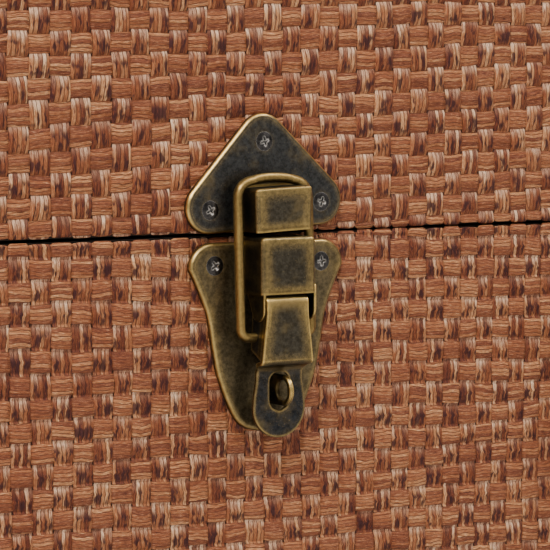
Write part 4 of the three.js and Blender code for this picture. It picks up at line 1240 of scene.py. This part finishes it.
def add_grille(node):
    """A round speaker grille, its face cut by upright slots."""
    place, radius, rise = round_node(node)
    slots = []
    for x in (-14, -7, 0, 7, 14):
        reach = math.sqrt(19 ** 2 - x ** 2)
        slots.append(outline_around([(x, -reach, 0.8), (x, reach, 0.8)]))
    face = flat_plate(circle(0, 0, radius - 3.2, 72), slots, 1.6, 0.5, 3)
    ring = turned([(radius - 5, 0), (radius, 0), (radius, 1), (radius - 0.6, 1.9), (radius - 2.2, rise),
                   (radius - 4, rise), (radius - 5, rise - 0.8), (radius - 5, 0)], 72)
    stand_in_for(node, placed(joined(placed(face, shifted(z=rise - 0.5)), weld(ring)), place))


REFINED = (
    "rim_liner", "foot_front_left", "foot_front_right", "foot_back_left", "foot_back_right",
    "adapter_45", "speaker_left", "speaker_right", "spindle", "motor", "motor_pulley", "drive_belt",
    "tonearm_base", "tonearm_gimbal", "cartridge", "stylus", "tonearm_rest", "rest_clip", "cue_lever",
    "headphone_socket", "power_lamp", "speed_selector", "autostop_switch", "circuit_board")


def add_deck():
    add_turntable()
    add_tonearm()
    for node in ("volume_knob", "tone_knob"):
        add_knob(node)
    for node in ("speaker_grille_left", "speaker_grille_right"):
        add_grille(node)
    for node in REFINED:
        refined(node)
    for node in ("base_box", "lid_box", "deck_panel"):
        keep = frame["nodes"][node]
        keep.data.materials.clear()
        keep.data.materials.append(finish_of(node).material)


woven = weave_paint()
bronze = bronze_paint("antique_bronze", (98, 85, 62), rim=0.6)
strike_bronze = bronze_paint("strike_bronze", (63, 62, 60), halo=0.2)
lever_bronze = bronze_paint("lever_bronze", (46, 47, 49), step=6.2, halo=0.04, rim=0.35, margin=0.42,
                            roll=SEAM + PIVOT[1] * LATCH_SCALE * MM)
eye_bronze = bronze_paint("eye_bronze", (34, 32, 28), step=5.8, halo=0.0, rim=0.1)
wire_bronze = bronze_paint("wire_bronze", (112, 90, 54), step=40, halo=0.1, rim=0.2, gold=0.14)
screw_steel = screw_paint()
leather = leather_paint()
thread = grained("thread", (196, 168, 128), (222, 198, 158), 1800, 0.8, 0.05)
red_insert = grained("red_insert", (160, 30, 26), (186, 42, 34), 900, 0.4, 0.01)
PAINTS = {
    "cloth": woven,
    "board": grained("lining_paper", (44, 34, 28), (66, 52, 42), 900, 0.92, 0.06),
    "bronze": bronze,
    "steel": grained("brushed_steel", (150, 150, 152), (196, 196, 198), 300, 0.32, 0.01, stretch=(1, 6, 1),
                     metallic=1.0),
    "rubber": grained("rubber", (24, 23, 22), (38, 36, 35), 700, 0.82, 0.05, worn=(62, 60, 58)),
    "leather": leather,
    "deck": grained("deck_vinyl", (44, 33, 27), (62, 48, 39), 1500, 0.62, 0.08),
    "black_plastic": grained("black_plastic", (22, 21, 20), (34, 32, 31), 1600, 0.48, 0.03,
                             worn=(70, 68, 66)),
    "cream_plastic": grained("cream_plastic", (206, 190, 156), (224, 211, 180), 500, 0.4, 0.015,
                             worn=(240, 230, 206)),
    "aluminium": grained("spun_aluminium", (176, 176, 174), (206, 206, 204), 220, 0.34, 0.01,
                         stretch=(1, 1, 9), metallic=1.0),
    "felt": grained("felt", (40, 33, 31), (66, 56, 52), 2400, 0.96, 0.25, sheen_weight=0.35),
    "circuit": circuit_paint(),
    "lamp": lamp_paint(),
}
add_studio()
add_covering()
add_latches()
add_handle()
add_back()
add_deck()
